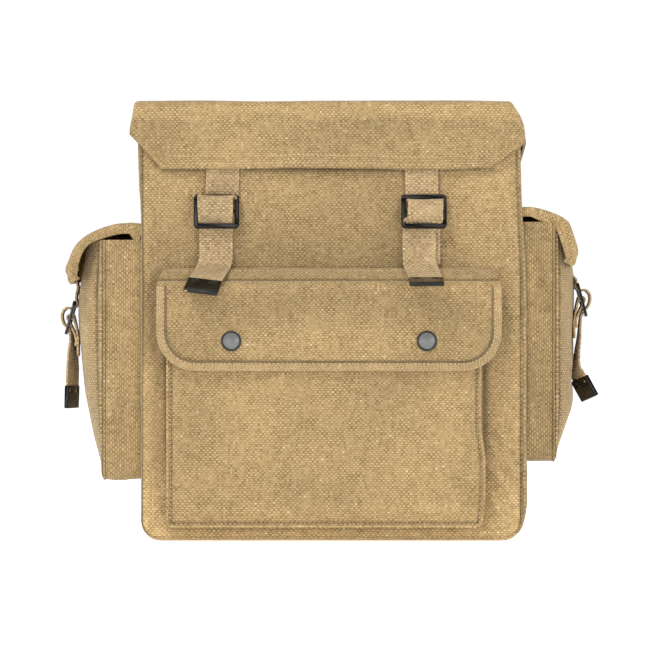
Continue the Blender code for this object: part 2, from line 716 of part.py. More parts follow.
def make_side_pocket(side, cloth):
    """A strip round the front, bottom and back edges, closed by one domed panel."""
    sign, half = SIDE_SIGN[side], SIDE_POCKET_LENGTH / 2
    bottom = SIDE_POCKET_BOTTOM[side]
    top = bottom + SIDE_POCKET_HEIGHT
    low, high = (-half, bottom), (half, top)
    strip = u_path(low, high, SIDE_POCKET_CORNER, 0)
    strip += u_path(low, high, SIDE_POCKET_CORNER, CANVAS)[::-1]
    start = HALF_WIDTH + SEAM_GAP
    seam = HALF_WIDTH + SIDE_POCKET_GUSSET
    end = seam - CANVAS - SEAM_GAP
    prism(f"side_pocket_{side}_gusset", strip, "X", sign * start, sign * end, cloth)

    columns, rows = 12, 14
    maker = bmesh.new()
    grid = []
    for row in range(rows + 1):
        rise = SIDE_POCKET_HEIGHT * row / rows
        line = []
        for column in range(columns + 1):
            share = -math.cos(math.pi * column / columns)
            out = pocket_bulge(share, rise, SIDE_POCKET_HEIGHT - rise, side)
            cut = max(0, SIDE_POCKET_CORNER - rise)
            pull = SIDE_POCKET_CORNER - math.sqrt(max(0, SIDE_POCKET_CORNER**2 - cut**2))
            y = share * (half - pull)
            line.append(maker.verts.new((sign * (seam + out), y, bottom + rise)))
        grid.append(line)
    for lower, upper in zip(grid, grid[1:]):
        for i in range(columns):
            corners = (lower[i], lower[i + 1], upper[i + 1], upper[i])
            maker.faces.new(corners if sign > 0 else corners[::-1])
    panel = add_object(f"side_pocket_{side}_panel", maker, cloth)
    if panel.data.polygons[len(panel.data.polygons) // 2].normal.x * sign < 0:
        panel.data.flip_normals()
    thick = panel.modifiers.new("cloth", "SOLIDIFY")
    thick.thickness = CANVAS
    thick.offset = -1
    thick.use_even_offset = True


def side_flap_profile(side):
    """The flap's centre line as (outward from the body, height over the pocket's mouth)."""
    out = SIDE_POCKET_GUSSET + SIDE_POCKET_BULGE[side]
    rise, drop = SIDE_FLAP_RISE, SIDE_FLAP_DROP
    return [
        (SEAM_GAP, rise),
        (out * 0.40, rise),
        (out * 0.73, rise * 0.58),
        (out * 0.966, 0),
        (out + 0.0032, -drop * 0.15),
        (out + 0.0074, -drop * 0.46),
        (out + SIDE_FLAP_BELLY, -drop * 0.68),
        (out + SIDE_FLAP_HEM, -drop),
    ]


def make_side_flap(side, cloth):
    """Flap that arches over the pocket's mouth, with a narrow lip down its front and back."""
    sign = SIDE_SIGN[side]
    mouth = SIDE_POCKET_BOTTOM[side] + SIDE_POCKET_HEIGHT
    hinge_height = mouth + SIDE_FLAP_RISE + CANVAS / 2 + SEAM_GAP / 3
    hinge = add_empty(f"side_flap_{side}_hinge", (sign * HALF_WIDTH, 0, hinge_height))
    path = flat_path(side_flap_profile(side), 0.006)
    frames = ribbon_frames(path)
    half = SIDE_POCKET_LENGTH / 2 + SIDE_FLAP_OVERHANG
    maker = bmesh.new()
    rows = []
    for index, (centre, _, normal, _, _) in enumerate(frames):
        outward, height = -centre.y, centre.z
        inward = Vector((-normal.y, normal.z))
        inward = -inward if inward.dot(Vector((0.7, 0.7))) > 0 else inward
        lip = SIDE_FLAP_LIP * min(1, index / 2)
        surface = Vector((outward, height)) - inward * CANVAS / 2
        edge = surface + inward * (lip + CANVAS * 1.2)
        edge.x = max(edge.x, SEAM_GAP)
        row = [(edge, -half), (surface, -half), (surface, half), (edge, half)]
        rows.append(
            [maker.verts.new((sign * (HALF_WIDTH + p.x), y, mouth + p.y)) for p, y in row]
        )
    for first, second in zip(rows, rows[1:]):
        for i in range(3):
            maker.faces.new((first[i], first[i + 1], second[i + 1], second[i]))
    flap = add_object(f"side_flap_{side}", maker, cloth)
    middle = [p for p in flap.data.polygons if abs(p.normal.y) < 0.5][2]
    if middle.normal.z < 0:
        flap.data.flip_normals()
    thick = flap.modifiers.new("cloth", "SOLIDIFY")
    thick.thickness = CANVAS
    thick.offset = -1
    thick.use_even_offset = True
    hang_on(flap, hinge)


def make_side_closures(strap_material, metal):
    """One strap over each side pocket. Its end hangs free and turns to show its face."""
    tails = {
        "left": [(0, 0.0055, -0.030, 0.10), (0, 0.0056, -0.048, 0.30), (0, 0.0056, -0.050, 0.30)],
        "right": [
            (0, 0.0050, -0.028, -0.04),
            (0, 0.0022, -0.053, -0.12),
            (0, 0.0036, -0.056, -0.15),
        ],
    }
    for side, tail in tails.items():
        sign = SIDE_SIGN[side]
        out = SIDE_POCKET_GUSSET + SIDE_POCKET_BULGE[side]
        height = SIDE_POCKET_BOTTOM[side] + SIDE_BUCKLE_ABOVE_BOTTOM
        mouth = SIDE_POCKET_HEIGHT - SIDE_BUCKLE_ABOVE_BOTTOM
        inset = CANVAS / 2 + SEAM_GAP + WEBBING / 2
        above = [
            (0, SIDE_FLAP_BELLY - inset - 2 * SEAM_GAP, mouth - SIDE_FLAP_DROP * 0.72, 0),
            (0, SIDE_FLAP_HEM - inset, mouth - SIDE_FLAP_DROP + SEAM_GAP, 0),
        ]
        below = straight_end(tail, TIP_LENGTH + STRAP_FOLD)
        place = (sign * (HALF_WIDTH + out), 0, height)
        turn = sign * math.pi / 2
        length = CHAPE_LENGTH["side"]
        make_closure(f"side_{side}", place, turn, length, above, below, strap_material, metal)


# ---------------------------------------------------------------- back


def make_back(cloth, strap_material, metal):
    """Doubled patch, two saddle straps with keepers for their ends, and a seat post loop."""
    low = (-PATCH_WIDTH / 2, PATCH_TOP - PATCH_HEIGHT)
    outline = rounded_box_outline(low, (PATCH_WIDTH / 2, PATCH_TOP), BODY_CORNER, BODY_CORNER)
    face = HALF_DEPTH + SEAM_GAP
    prism("saddle_strap_patch", outline, "Y", face, face + CANVAS, cloth)

    over_patch = 2 * SEAM_GAP + CANVAS + WEBBING / 2
    crown = over_patch + WEBBING / 2 + SADDLE_LOOP_ROOM
    sewn = PATCH_TOP - 0.004 - SADDLE_BUCKLE_HEIGHT
    patch_foot = PATCH_TOP - PATCH_HEIGHT - SADDLE_BUCKLE_HEIGHT
    above = [
        (0, over_patch, sewn, 0),
        (0, over_patch, sewn - 0.014, 0),
        (0, crown, sewn - 0.024, 0),
        (0, crown, patch_foot + 0.004, 0),
        (0, SEAM_GAP + WEBBING / 2 + 0.001, BUCKLE_HEIGHT / 2 + 4 * WEBBING, 0),
    ]
    lie = 2 * SEAM_GAP + 1.5 * WEBBING + 0.0009
    below = straight_end([(0, lie, -0.034, 0), (0, lie, -0.052, 0)], TIP_LENGTH + STRAP_FOLD)
    half = STRAP_WIDTH / 2
    lift = SEAM_GAP + WEBBING / 2
    bridge = lie + WEBBING + 2 * SEAM_GAP
    across = [
        (half + 0.009, lift),
        (half + 0.0032, lift),
        (half + 0.0012, bridge),
        (-half - 0.0012, bridge),
        (-half - 0.0032, lift),
        (-half - 0.009, lift),
    ]
    for side, sign in SIDE_SIGN.items():
        x = sign * SADDLE_STRAP_SPACING / 2
        place = (x, HALF_DEPTH, SADDLE_BUCKLE_HEIGHT)
        length = CHAPE_LENGTH["saddle"]
        name = f"saddle_{side}"
        base = make_closure(name, place, math.pi, length, above, below, strap_material, metal)
        path = fillet([(0, outward, sideways, 0) for sideways, outward in across], 0.0012)
        maker = ribbon_mesh(ribbon_frames(path), KEEPER_WIDTH, WEBBING)
        bmesh.ops.rotate(maker, verts=maker.verts, matrix=Matrix.Rotation(math.pi / 2, 3, "Y"))
        keeper_height = -(CHAPE_LENGTH["saddle"] + KEEPER_WIDTH / 2 + 2 * SEAM_GAP)
        bmesh.ops.translate(maker, verts=maker.verts, vec=(0, 0, keeper_height))
        add_object(f"{name}_keeper", maker, strap_material, base)

    crown = lift + SEAT_POST_LOOP_ROOM + WEBBING / 2
    span = SEAT_POST_LOOP_SPAN / 2
    pairs = [
        (lift, span + 0.012),
        (lift, span),
        (crown, span * 0.45),
        (crown, -span * 0.45),
        (lift, -span),
        (lift, -span - 0.012),
    ]
    frames = ribbon_frames(flat_path(pairs, 0.005))
    loop_mesh = ribbon_mesh(frames, STRAP_WIDTH, WEBBING)
    base = add_empty("seat_post_loop_place", (0, HALF_DEPTH, SEAT_POST_LOOP_HEIGHT), math.pi)
    add_object("seat_post_loop", loop_mesh, strap_material, base)


# ---------------------------------------------------------------- the whole bag


def clear_scene():
    for old in list(bpy.data.objects):
        bpy.data.objects.remove(old, do_unlink=True)


def main():
    clear_scene()
    cloth = paint("sand_canvas", (0.46, 0.33, 0.16), 0.95, 0.0)
    tape = paint("sand_binding", (0.44, 0.31, 0.15), 0.9, 0.0)
    webbing = paint("sand_webbing", (0.50, 0.37, 0.20), 0.9, 0.0)
    black = paint("black_metal", (0.02, 0.02, 0.022), 0.35, 0.9)
    steel = paint("gunmetal", (0.22, 0.22, 0.23), 0.35, 0.9)
    make_body(cloth)
    make_main_flap(cloth)
    make_front_pocket(cloth)
    flap_hinge = make_pocket_flap(cloth, tape)
    make_snaps(steel, flap_hinge)
    make_front_closures(webbing, black)
    for side in SIDE_SIGN:
        make_side_pocket(side, cloth)
        make_side_flap(side, cloth)
    make_side_closures(webbing, black)
    make_back(cloth, webbing, black)


main()
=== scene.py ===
"""Canvas saddle bag on a pale studio floor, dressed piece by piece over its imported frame."""

import math
from functools import partial

import bpy
import numpy as np
from mathutils import Matrix, Vector


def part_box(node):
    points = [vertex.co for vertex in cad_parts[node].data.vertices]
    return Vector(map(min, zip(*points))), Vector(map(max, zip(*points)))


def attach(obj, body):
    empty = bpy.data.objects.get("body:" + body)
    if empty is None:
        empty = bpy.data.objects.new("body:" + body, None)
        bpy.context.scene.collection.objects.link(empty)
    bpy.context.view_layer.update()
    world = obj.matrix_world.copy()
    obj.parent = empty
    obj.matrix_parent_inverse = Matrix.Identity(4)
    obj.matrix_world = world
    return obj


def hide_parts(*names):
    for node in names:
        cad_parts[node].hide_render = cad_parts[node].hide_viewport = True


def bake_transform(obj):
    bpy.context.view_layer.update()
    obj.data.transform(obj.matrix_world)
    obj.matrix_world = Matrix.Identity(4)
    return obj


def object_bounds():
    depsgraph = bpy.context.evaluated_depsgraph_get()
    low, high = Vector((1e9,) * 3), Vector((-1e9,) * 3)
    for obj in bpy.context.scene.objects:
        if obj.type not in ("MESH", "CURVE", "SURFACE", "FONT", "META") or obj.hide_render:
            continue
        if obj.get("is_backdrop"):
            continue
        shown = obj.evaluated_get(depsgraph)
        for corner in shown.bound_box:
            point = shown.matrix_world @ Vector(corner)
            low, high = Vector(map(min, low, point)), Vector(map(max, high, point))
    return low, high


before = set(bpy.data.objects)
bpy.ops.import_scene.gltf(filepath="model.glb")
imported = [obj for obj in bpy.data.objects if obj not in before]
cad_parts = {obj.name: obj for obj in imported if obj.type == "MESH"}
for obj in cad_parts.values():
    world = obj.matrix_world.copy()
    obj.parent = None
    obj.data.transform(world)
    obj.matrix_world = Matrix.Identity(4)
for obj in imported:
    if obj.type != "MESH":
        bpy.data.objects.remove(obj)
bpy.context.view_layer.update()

# ------------------------------------------------------------------ camera
# A long lens, level with the middle of the bag and square to its front, so that its edges stay
# straight and its sides hardly show.

LENS, SENSOR = 287.7, 36
CAMERA_PLACE = (-0.0031, -4.065, 0.1663)

camera_data = bpy.data.cameras.new("studio_camera")
camera_data.lens = LENS
camera_data.sensor_width = SENSOR
camera_data.clip_end = 50
camera = bpy.data.objects.new("studio_camera", camera_data)
camera.location = CAMERA_PLACE
camera.rotation_euler = (math.pi / 2, 0, 0)
bpy.context.collection.objects.link(camera)
bpy.context.scene.camera = camera
bpy.context.scene.view_settings.view_transform = "Standard"

# ------------------------------------------------------------------ main compartment
# The bag's body: a front, a back, and one long strip that runs down a side, under the base and up
# the other side. All are heavy cotton canvas, seamed edge to edge with the raw edges inside.

CANVAS = 0.0016
KNOTS = 64
FRONT_FACE = -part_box("front_panel")[0].y
BODY_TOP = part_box("front_panel")[1].z
SEAM_SET_BACK = 0.0024
SEAM_HEIGHT = 0.0026
BODY_CORNER = 0.013
LEFT_SEAM = -0.1436
LID_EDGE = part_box("main_flap")[1].z - 0.0525


def ease(value):
    """0 to 1 with level ends, for a value that runs past 0 and 1."""
    value = np.clip(value, 0, 1)
    return value * value * (3 - 2 * value)


def within(distance, reach):
    """1 at no distance, easing to 0 at the reach."""
    return ease(1 - distance / reach)


def bell(distance, width):
    """1 at no distance, and gone by about two widths either side."""
    return np.exp(-((distance / width) ** 2))


def rounded(edge, reach):
    """A quarter round: 0 at an edge, rising steeply, and level from the reach inwards."""
    return np.sqrt(np.clip(1 - (1 - np.clip(edge / reach, 0, 1)) ** 2, 0, 1))


def hump(share):
    """0 at both ends of a share that runs from 0 to 1, and 1 in its middle."""
    return np.sin(np.clip(share, 0, 1) * math.pi)


def uneven(along, across, long_step, cross_step, seed):
    """A soft random height from -1 to 1, whose waves are about as long and wide as the steps."""
    knots = np.random.default_rng(seed).uniform(-1, 1, (KNOTS, KNOTS))
    p, q = np.asarray(along) / long_step + 90.0, np.asarray(across) / cross_step + 90.0
    i, j = np.floor(p).astype(int) % KNOTS, np.floor(q).astype(int) % KNOTS
    s, t = ease(p - np.floor(p)), ease(q - np.floor(q))
    beyond, above = (i + 1) % KNOTS, (j + 1) % KNOTS
    lower = knots[i, j] * (1 - s) + knots[beyond, j] * s
    upper = knots[i, above] * (1 - s) + knots[beyond, above] * s
    return lower * (1 - t) + upper * t


def folds(along, across, step, lean, seed):
    """Long soft creases that lean at an angle, stronger in some places than in others."""
    turn = math.radians(lean)
    p = along * math.cos(turn) + across * math.sin(turn)
    q = across * math.cos(turn) - along * math.sin(turn)
    ridge = 1 - np.abs(uneven(p, q, step * 4, step, seed))
    return ridge**3 * ease(0.5 + uneven(p, q, step * 3, step * 3, seed + 1))


def cut_cloth(name, columns, rows, lay):
    """Cuts a rectangle of cloth and lays it out.

    lay takes each point's place across and up the cut, from 0 to 1, and gives its x, y and z, its
    place on the flat cloth in metres, and its tone: above 0 is paler, below 0 is darker. Tone holds
    painted light and shade, painted highlights on folds and ridges and painted shade in seams,
    grooves and under edges, as well as random unevenness.
    """
    bpy.ops.object.select_all(action="DESELECT")
    bpy.ops.mesh.primitive_grid_add(x_subdivisions=columns, y_subdivisions=rows, size=2)
    cloth = bpy.context.object
    cloth.name = name
    mesh = cloth.data
    spots = np.empty(len(mesh.vertices) * 3)
    mesh.vertices.foreach_get("co", spots)
    spots = spots.reshape(-1, 3)
    u, v = (spots[:, 0] + 1) / 2, (spots[:, 1] + 1) / 2
    x, y, z, across, along, tone = lay(u, v)
    blank = np.zeros(len(u))
    placed = np.stack([x + blank, y + blank, z + blank], axis=1)
    mesh.vertices.foreach_set("co", placed.ravel())
    corners = np.empty(len(mesh.loops), int)
    mesh.loops.foreach_get("vertex_index", corners)
    flat = np.stack([across + blank, along + blank], axis=1)[corners]
    weave_map = mesh.uv_layers.active or mesh.uv_layers.new(name="cloth")
    weave_map.name = "cloth"
    weave_map.data.foreach_set("uv", flat.ravel())
    rub = mesh.attributes.new("tone", "FLOAT", "POINT")
    rub.data.foreach_set("value", tone + blank)
    mesh.update()
    bpy.ops.object.shade_smooth()
    return cloth


def take(piece):
    """Selects one piece alone, and makes it the active one."""
    bpy.ops.object.select_all(action="DESELECT")
    piece.select_set(True)
    bpy.context.view_layer.objects.active = piece


def apply_modifier(piece, kind, **settings):
    """Adds a modifier and applies it at once."""
    added = piece.modifiers.new(kind.lower(), kind)
    for key, value in settings.items():
        setattr(added, key, value)
    take(piece)
    bpy.ops.object.modifier_apply(modifier=added.name)


def give_thickness(cloth, thickness=CANVAS, offset=-1):
    """Grows the cloth's thickness behind its outer face."""
    apply_modifier(cloth, "SOLIDIFY", thickness=thickness, offset=offset)
    bpy.ops.object.shade_smooth_by_angle(angle=math.radians(55))


def run_along(line):
    """How far along a line each of its points is."""
    steps = np.linalg.norm(np.diff(line, axis=0), axis=1)
    return np.concatenate([[0], np.cumsum(steps)])


def way_out(run, run_at, line, step):
    """The way out at places along a line of (across, up) points, square to the line there."""
    ahead, behind = np.clip(run + step, 0, run_at[-1]), np.clip(run - step, 0, run_at[-1])
    across, up = (
        np.interp(ahead, run_at, line[:, i]) - np.interp(behind, run_at, line[:, i]) for i in (0, 1)
    )
    length = np.hypot(across, up)
    return up / length, -across / length


def right_seam(z):
    """The body's right edge, which bulges a little towards its foot."""
    return 0.1440 + 0.0032 * ease((0.30 - z) / 0.10)


def corner_inset(z, radius=BODY_CORNER):
    """How far a rounded bottom corner pulls in at a height above the bottom."""
    short = np.clip(radius - z, 0, radius)
    return radius - np.sqrt(radius**2 - short**2)


def shoulder(x, z):
    """How far the compartment's right top corner is drawn in under the lid."""
    drawn = np.interp(BODY_TOP - z, (0, 0.005, 0.0127, 0.022), (0.0092, 0.0066, 0.0026, 0.0))
    return drawn * ease((x - 0.105) / 0.038)


def lay_face(u, v):
    z = SEAM_HEIGHT + v * (BODY_TOP - SEAM_HEIGHT)
    pull = corner_inset(z - SEAM_HEIGHT)
    left, right = LEFT_SEAM + pull, right_seam(z) - pull
    x = left + u * (right - left)
    edge = np.minimum(np.minimum(x - left, right - x), z - SEAM_HEIGHT)
    rise = rounded(edge, 0.0042)
    dent = 0.0007 * (1 - uneven(x, z, 0.06, 0.05, 3)) + 0.0009 * (1 - folds(x, z, 0.03, 62, 7))
    corner = ease(1 - np.hypot(x - right, (z - 0.05) * 0.7) / 0.055)
    wrinkle = corner * np.sin((x + z * 0.8 + 0.002 * np.sin(z / 0.011)) / 0.0025)
    beside = within(right - x, 0.030) * ease((z - 0.16) / 0.03)
    waver = 0.003 * np.sin(z / 0.017)
    wrinkle += 0.6 * beside * np.sin((x * 1.3 + z * 0.45 + waver) / 0.0030)
    y = -(FRONT_FACE - SEAM_SET_BACK * (1 - rise)) + (dent + 0.0013 * wrinkle) * rise
    # Painted shade: a dark line in the seams, and darker in the wrinkles' hollows. Paler within 9
    # mm of the edges.
    tone = 0.45 * within(edge, 0.009) - 1.2 * within(edge, 0.0016) - 0.40 * wrinkle * rise
    tone += 0.35 * uneven(x, z, 0.09, 0.07, 11) - 0.2
    # Painted light: paler towards the right and towards the foot, where the lamps leave the body
    # dim.
    tone += 0.5 * ease((x - 0.07) / 0.06) + 1.4 * ease((0.08 - z) / 0.06)
    return x, y, z, x, z, tone


def lay_front(u, v):
    x, y, z, across, along, tone = lay_face(u, v)
    # Painted shadow: a dark line under the lid's edge.
    tone = tone - 1.0 * bell(z - LID_EDGE, 0.0022) * (np.abs(x) < 0.128)
    # Painted shade: a dark line round the pocket's sides and foot.
    pocket_low, pocket_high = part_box("front_pocket_gusset")
    beside = np.maximum(np.maximum(pocket_low.x - x, x - pocket_high.x), pocket_low.z - z)
    tone = tone - 1.1 * bell(beside, 0.0030) * (z < pocket_high.z)
    # Painted light on the lower left of the body.
    tone += 0.8 * ease((0.16 - z) / 0.06) * ease((-0.112 - x) / 0.020)
    return x - shoulder(x, z), y, z, across, along, tone


def lay_back(u, v):
    x, y, z, across, along, tone = lay_face(u, v)
    x = LEFT_SEAM + right_seam(z) - x
    return x - shoulder(x, z), -y, z, -across, along, tone


# The strip's path, seen from the front: down the left seam, along the base, up the right seam.
side_heights = np.linspace(BODY_TOP, BODY_CORNER + SEAM_HEIGHT, 90)
corner_turn = np.linspace(0, math.pi / 2, 9)[1:-1]
path_x = np.concatenate(
    [
        np.full(90, LEFT_SEAM),
        LEFT_SEAM + BODY_CORNER * (1 - np.cos(corner_turn)),
        np.linspace(LEFT_SEAM + BODY_CORNER, right_seam(0) - BODY_CORNER, 60),
        right_seam(0) - BODY_CORNER * (1 - np.sin(corner_turn)),
        right_seam(side_heights[::-1]),
    ]
)
path_z = np.concatenate(
    [
        side_heights,
        SEAM_HEIGHT + BODY_CORNER * (1 - np.sin(corner_turn)),
        np.full(60, SEAM_HEIGHT),
        SEAM_HEIGHT + BODY_CORNER * (1 - np.cos(corner_turn)),
        side_heights[::-1],
    ]
)
strip_path = np.stack([path_x, path_z], axis=1)
strip_run = run_along(strip_path)


def lay_strip(u, v):
    run = u * strip_run[-1]
    x, z = np.interp(run, strip_run, path_x), np.interp(run, strip_run, path_z)
    out_x, out_z = way_out(run, strip_run, strip_path, 0.002)
    depth = FRONT_FACE - SEAM_SET_BACK + 0.0001
    y = depth - v * 2 * depth
    edge = np.minimum(v, 1 - v) * 2 * depth
    roll = rounded(edge, 0.0075)
    left_swell = 0.0022 + 0.0028 * ease((z - 0.24) / 0.06)
    right_swell = 0.0046 + 0.0018 * ease((0.26 - z) / 0.08)
    swell = np.where(x < 0, left_swell, right_swell)
    swell = swell * ease(z / 0.03) + SEAM_HEIGHT * (1 - ease(z / 0.03))
    middle = 1 - 0.30 * ease((edge - 0.010) / 0.02) * ease(z / 0.04)
    upright = np.abs(out_x)
    rough = 0.0009 * (uneven(run, y, 0.05, 0.04, 21) - 1) * ease(edge / 0.012)
    rough = rough - 0.0012 * (1 - folds(run, y, 0.02, 20, 23)) * ease(edge / 0.01) * upright
    bulge = swell * roll * middle + rough * upright * 0.8
    bulge = np.maximum(bulge, 0.0)
    # Painted shade: a dark line at the seams. Painted light: the strip is paler where it lies flat
    # under the base than up the sides.
    tone = -1.5 * within(edge, 0.0012) + 0.25 * uneven(run, y, 0.08, 0.05, 25) + 1.6 - 1.2 * upright
    up = np.maximum(z + out_z * bulge, 0.0)
    return x + out_x * bulge - shoulder(x, up), y, up, run, y, tone


def add_node(tree, kind, **settings):
    """A shader node. A setting named in_N fills input N."""
    made = tree.nodes.new(kind)
    for key, value in settings.items():
        if key.startswith("in_"):
            name = key[3:]
            socket = made.inputs[int(name) if name.isdigit() else name.replace("_", " ")]
            if isinstance(value, bpy.types.NodeSocket):
                tree.links.new(value, socket)
            else:
                socket.default_value = value
        else:
            setattr(made, key, value)
    return made


def calculate(tree, operation, first, second=0.5, third=0.5, clamp=False):
    """One Math node's answer."""
    made = add_node(tree, "ShaderNodeMath", operation=operation, use_clamp=clamp)
    for socket, value in zip(made.inputs, (first, second, third)):
        if isinstance(value, bpy.types.NodeSocket):
            tree.links.new(value, socket)
        else:
            socket.default_value = value
    return made.outputs[0]


def new_group(name, inputs, outputs):
    """An empty node group with its sockets."""
    group = bpy.data.node_groups.new(name, "ShaderNodeTree")
    for socket_name, kind, value in inputs:
        made = group.interface.new_socket(socket_name, in_out="INPUT", socket_type=kind)
        if value is not None:
            made.default_value = value
    for socket_name in outputs:
        group.interface.new_socket(socket_name, in_out="OUTPUT", socket_type="NodeSocketFloat")
    start = group.nodes.new("NodeGroupInput")
    end = group.nodes.new("NodeGroupOutput")
    return group, start.outputs, end.inputs


def add_noise(tree, place, scale, detail=2.0, roughness=0.5):
    """Soft random values that change over about 1 / scale metres."""
    return add_node(
        tree,
        "ShaderNodeTexNoise",
        in_Vector=place,
        in_Scale=scale,
        in_Detail=detail,
        in_Roughness=roughness,
    ).outputs


def with_vectors(tree, operation, **inputs):
    """One Vector Math node's answer."""
    return add_node(tree, "ShaderNodeVectorMath", operation=operation, **inputs).outputs[0]


def mix_colours(tree, amount, first, second):
    """One colour turning into another. Each is red, green and blue, or another node's answer."""
    first, second = ((*c, 1.0) if isinstance(c, tuple) else c for c in (first, second))
    mixed = add_node(
        tree, "ShaderNodeMix", data_type="RGBA", in_0=amount, in_6=first, in_7=second
    )
    return mixed.outputs[2]


def new_material(name, **finish):
    """A node material with its shader's own settings, spaces in their names being underscores."""
    material = bpy.data.materials.new(name)
    material.use_nodes = True
    shader = material.node_tree.nodes["Principled BSDF"]
    for setting, value in finish.items():
        shader.inputs[setting.replace("_", " ")].default_value = value
    return material, material.node_tree, shader


def colour_and_bump(tree, shader, colour, height, strength, distance):
    """Plugs a colour and a height into a shader."""
    tree.links.new(colour, shader.inputs["Base Color"])
    bump = add_node(
        tree, "ShaderNodeBump", in_Height=height, in_Strength=strength, in_Distance=distance
    )
    tree.links.new(bump.outputs[0], shader.inputs["Normal"])


# Plain weave: threads go over and under one another by turns. The group takes the place on the
# flat cloth in metres. It gives each spot's height, from gap to crown, how thick its thread is
# there, and a random number for each crossing, for flecks.
THREAD_ACROSS, THREAD_ALONG = 0.00175, 0.00178
weave_group, given, result = new_group(
    "plain_weave",
    [
        ("Cloth", "NodeSocketVector", None),
        ("Across", "NodeSocketFloat", THREAD_ACROSS),
        ("Along", "NodeSocketFloat", THREAD_ALONG),
        ("Wander", "NodeSocketFloat", 0.0032),
    ],
    ["Height", "Slub", "Fleck"],
)
spun = partial(add_node, weave_group)
maths = partial(calculate, weave_group)
drift, drift_colour = add_noise(weave_group, given["Cloth"], 55.0, 3.0)[:2]
centred = with_vectors(weave_group, "SUBTRACT", in_0=drift_colour, in_1=(0.5, 0.5, 0.5))
pushed = with_vectors(weave_group, "SCALE", in_0=centred, in_Scale=given["Wander"])
strayed = with_vectors(weave_group, "ADD", in_0=given["Cloth"], in_1=pushed)
pitch = spun("ShaderNodeCombineXYZ", in_X=given["Across"], in_Y=given["Along"], in_Z=1.0)
counted = with_vectors(weave_group, "DIVIDE", in_0=strayed, in_1=pitch.outputs[0])
count_x, count_y = spun("ShaderNodeSeparateXYZ", in_0=counted).outputs[:2]
thread_x, thread_y = maths("FLOOR", count_x), maths("FLOOR", count_y)
round_x, round_y = (
    maths("SINE", maths("MULTIPLY", maths("SUBTRACT", count, thread), math.pi))
    for count, thread in ((count_x, thread_x), (count_y, thread_y))
)
turn_by_turn = maths("FLOORED_MODULO", maths("ADD", thread_x, thread_y), 2.0)
over = maths("MULTIPLY_ADD", turn_by_turn, -2.0, 1.0)
warp_lift = maths("MULTIPLY_ADD", maths("MULTIPLY", over, round_y), 0.5, 0.5)
weft_lift = maths("MULTIPLY_ADD", maths("MULTIPLY", over, round_x), -0.5, 0.5)
warp = maths("MULTIPLY", round_x, maths("MULTIPLY", warp_lift, 0.66))
weft = maths("MULTIPLY", round_y, weft_lift)
threads = maths("MULTIPLY", maths("MAXIMUM", warp, weft), 0.40)
crossed = maths("MULTIPLY", maths("MULTIPLY", round_x, round_y), over)
pebbled = maths("MULTIPLY_ADD", crossed, -0.21, -0.31)
pebbled = maths("MULTIPLY_ADD", round_y, 0.17, pebbled)
pebbled = maths("ADD", pebbled, threads)
patchy = maths("MULTIPLY_ADD", drift, 2.6, -0.30)
crown = maths("MULTIPLY_ADD", pebbled, patchy, 0.5, clamp=True)
# A slub is a thick stretch of one thread, so its noise is drawn out along that thread.
drawn_out = 0.09
warp_spot = {"in_X": thread_x, "in_Y": maths("MULTIPLY", count_y, drawn_out)}
weft_spot = {"in_X": maths("MULTIPLY", count_x, drawn_out), "in_Y": maths("ADD", thread_y, 71.0)}
slubs = [
    add_noise(weave_group, spun("ShaderNodeCombineXYZ", **spot).outputs[0], 1.0, 1.0)[0]
    for spot in (warp_spot, weft_spot)
]
crossing = spun("ShaderNodeCombineXYZ", in_X=thread_x, in_Y=thread_y)
fleck = spun("ShaderNodeTexWhiteNoise", noise_dimensions="2D", in_Vector=crossing.outputs[0])
weave_group.links.new(crown, result["Height"])
weave_group.links.new(maths("MULTIPLY", maths("ADD", *slubs), 0.5), result["Slub"])
weave_group.links.new(fleck.outputs["Value"], result["Fleck"])


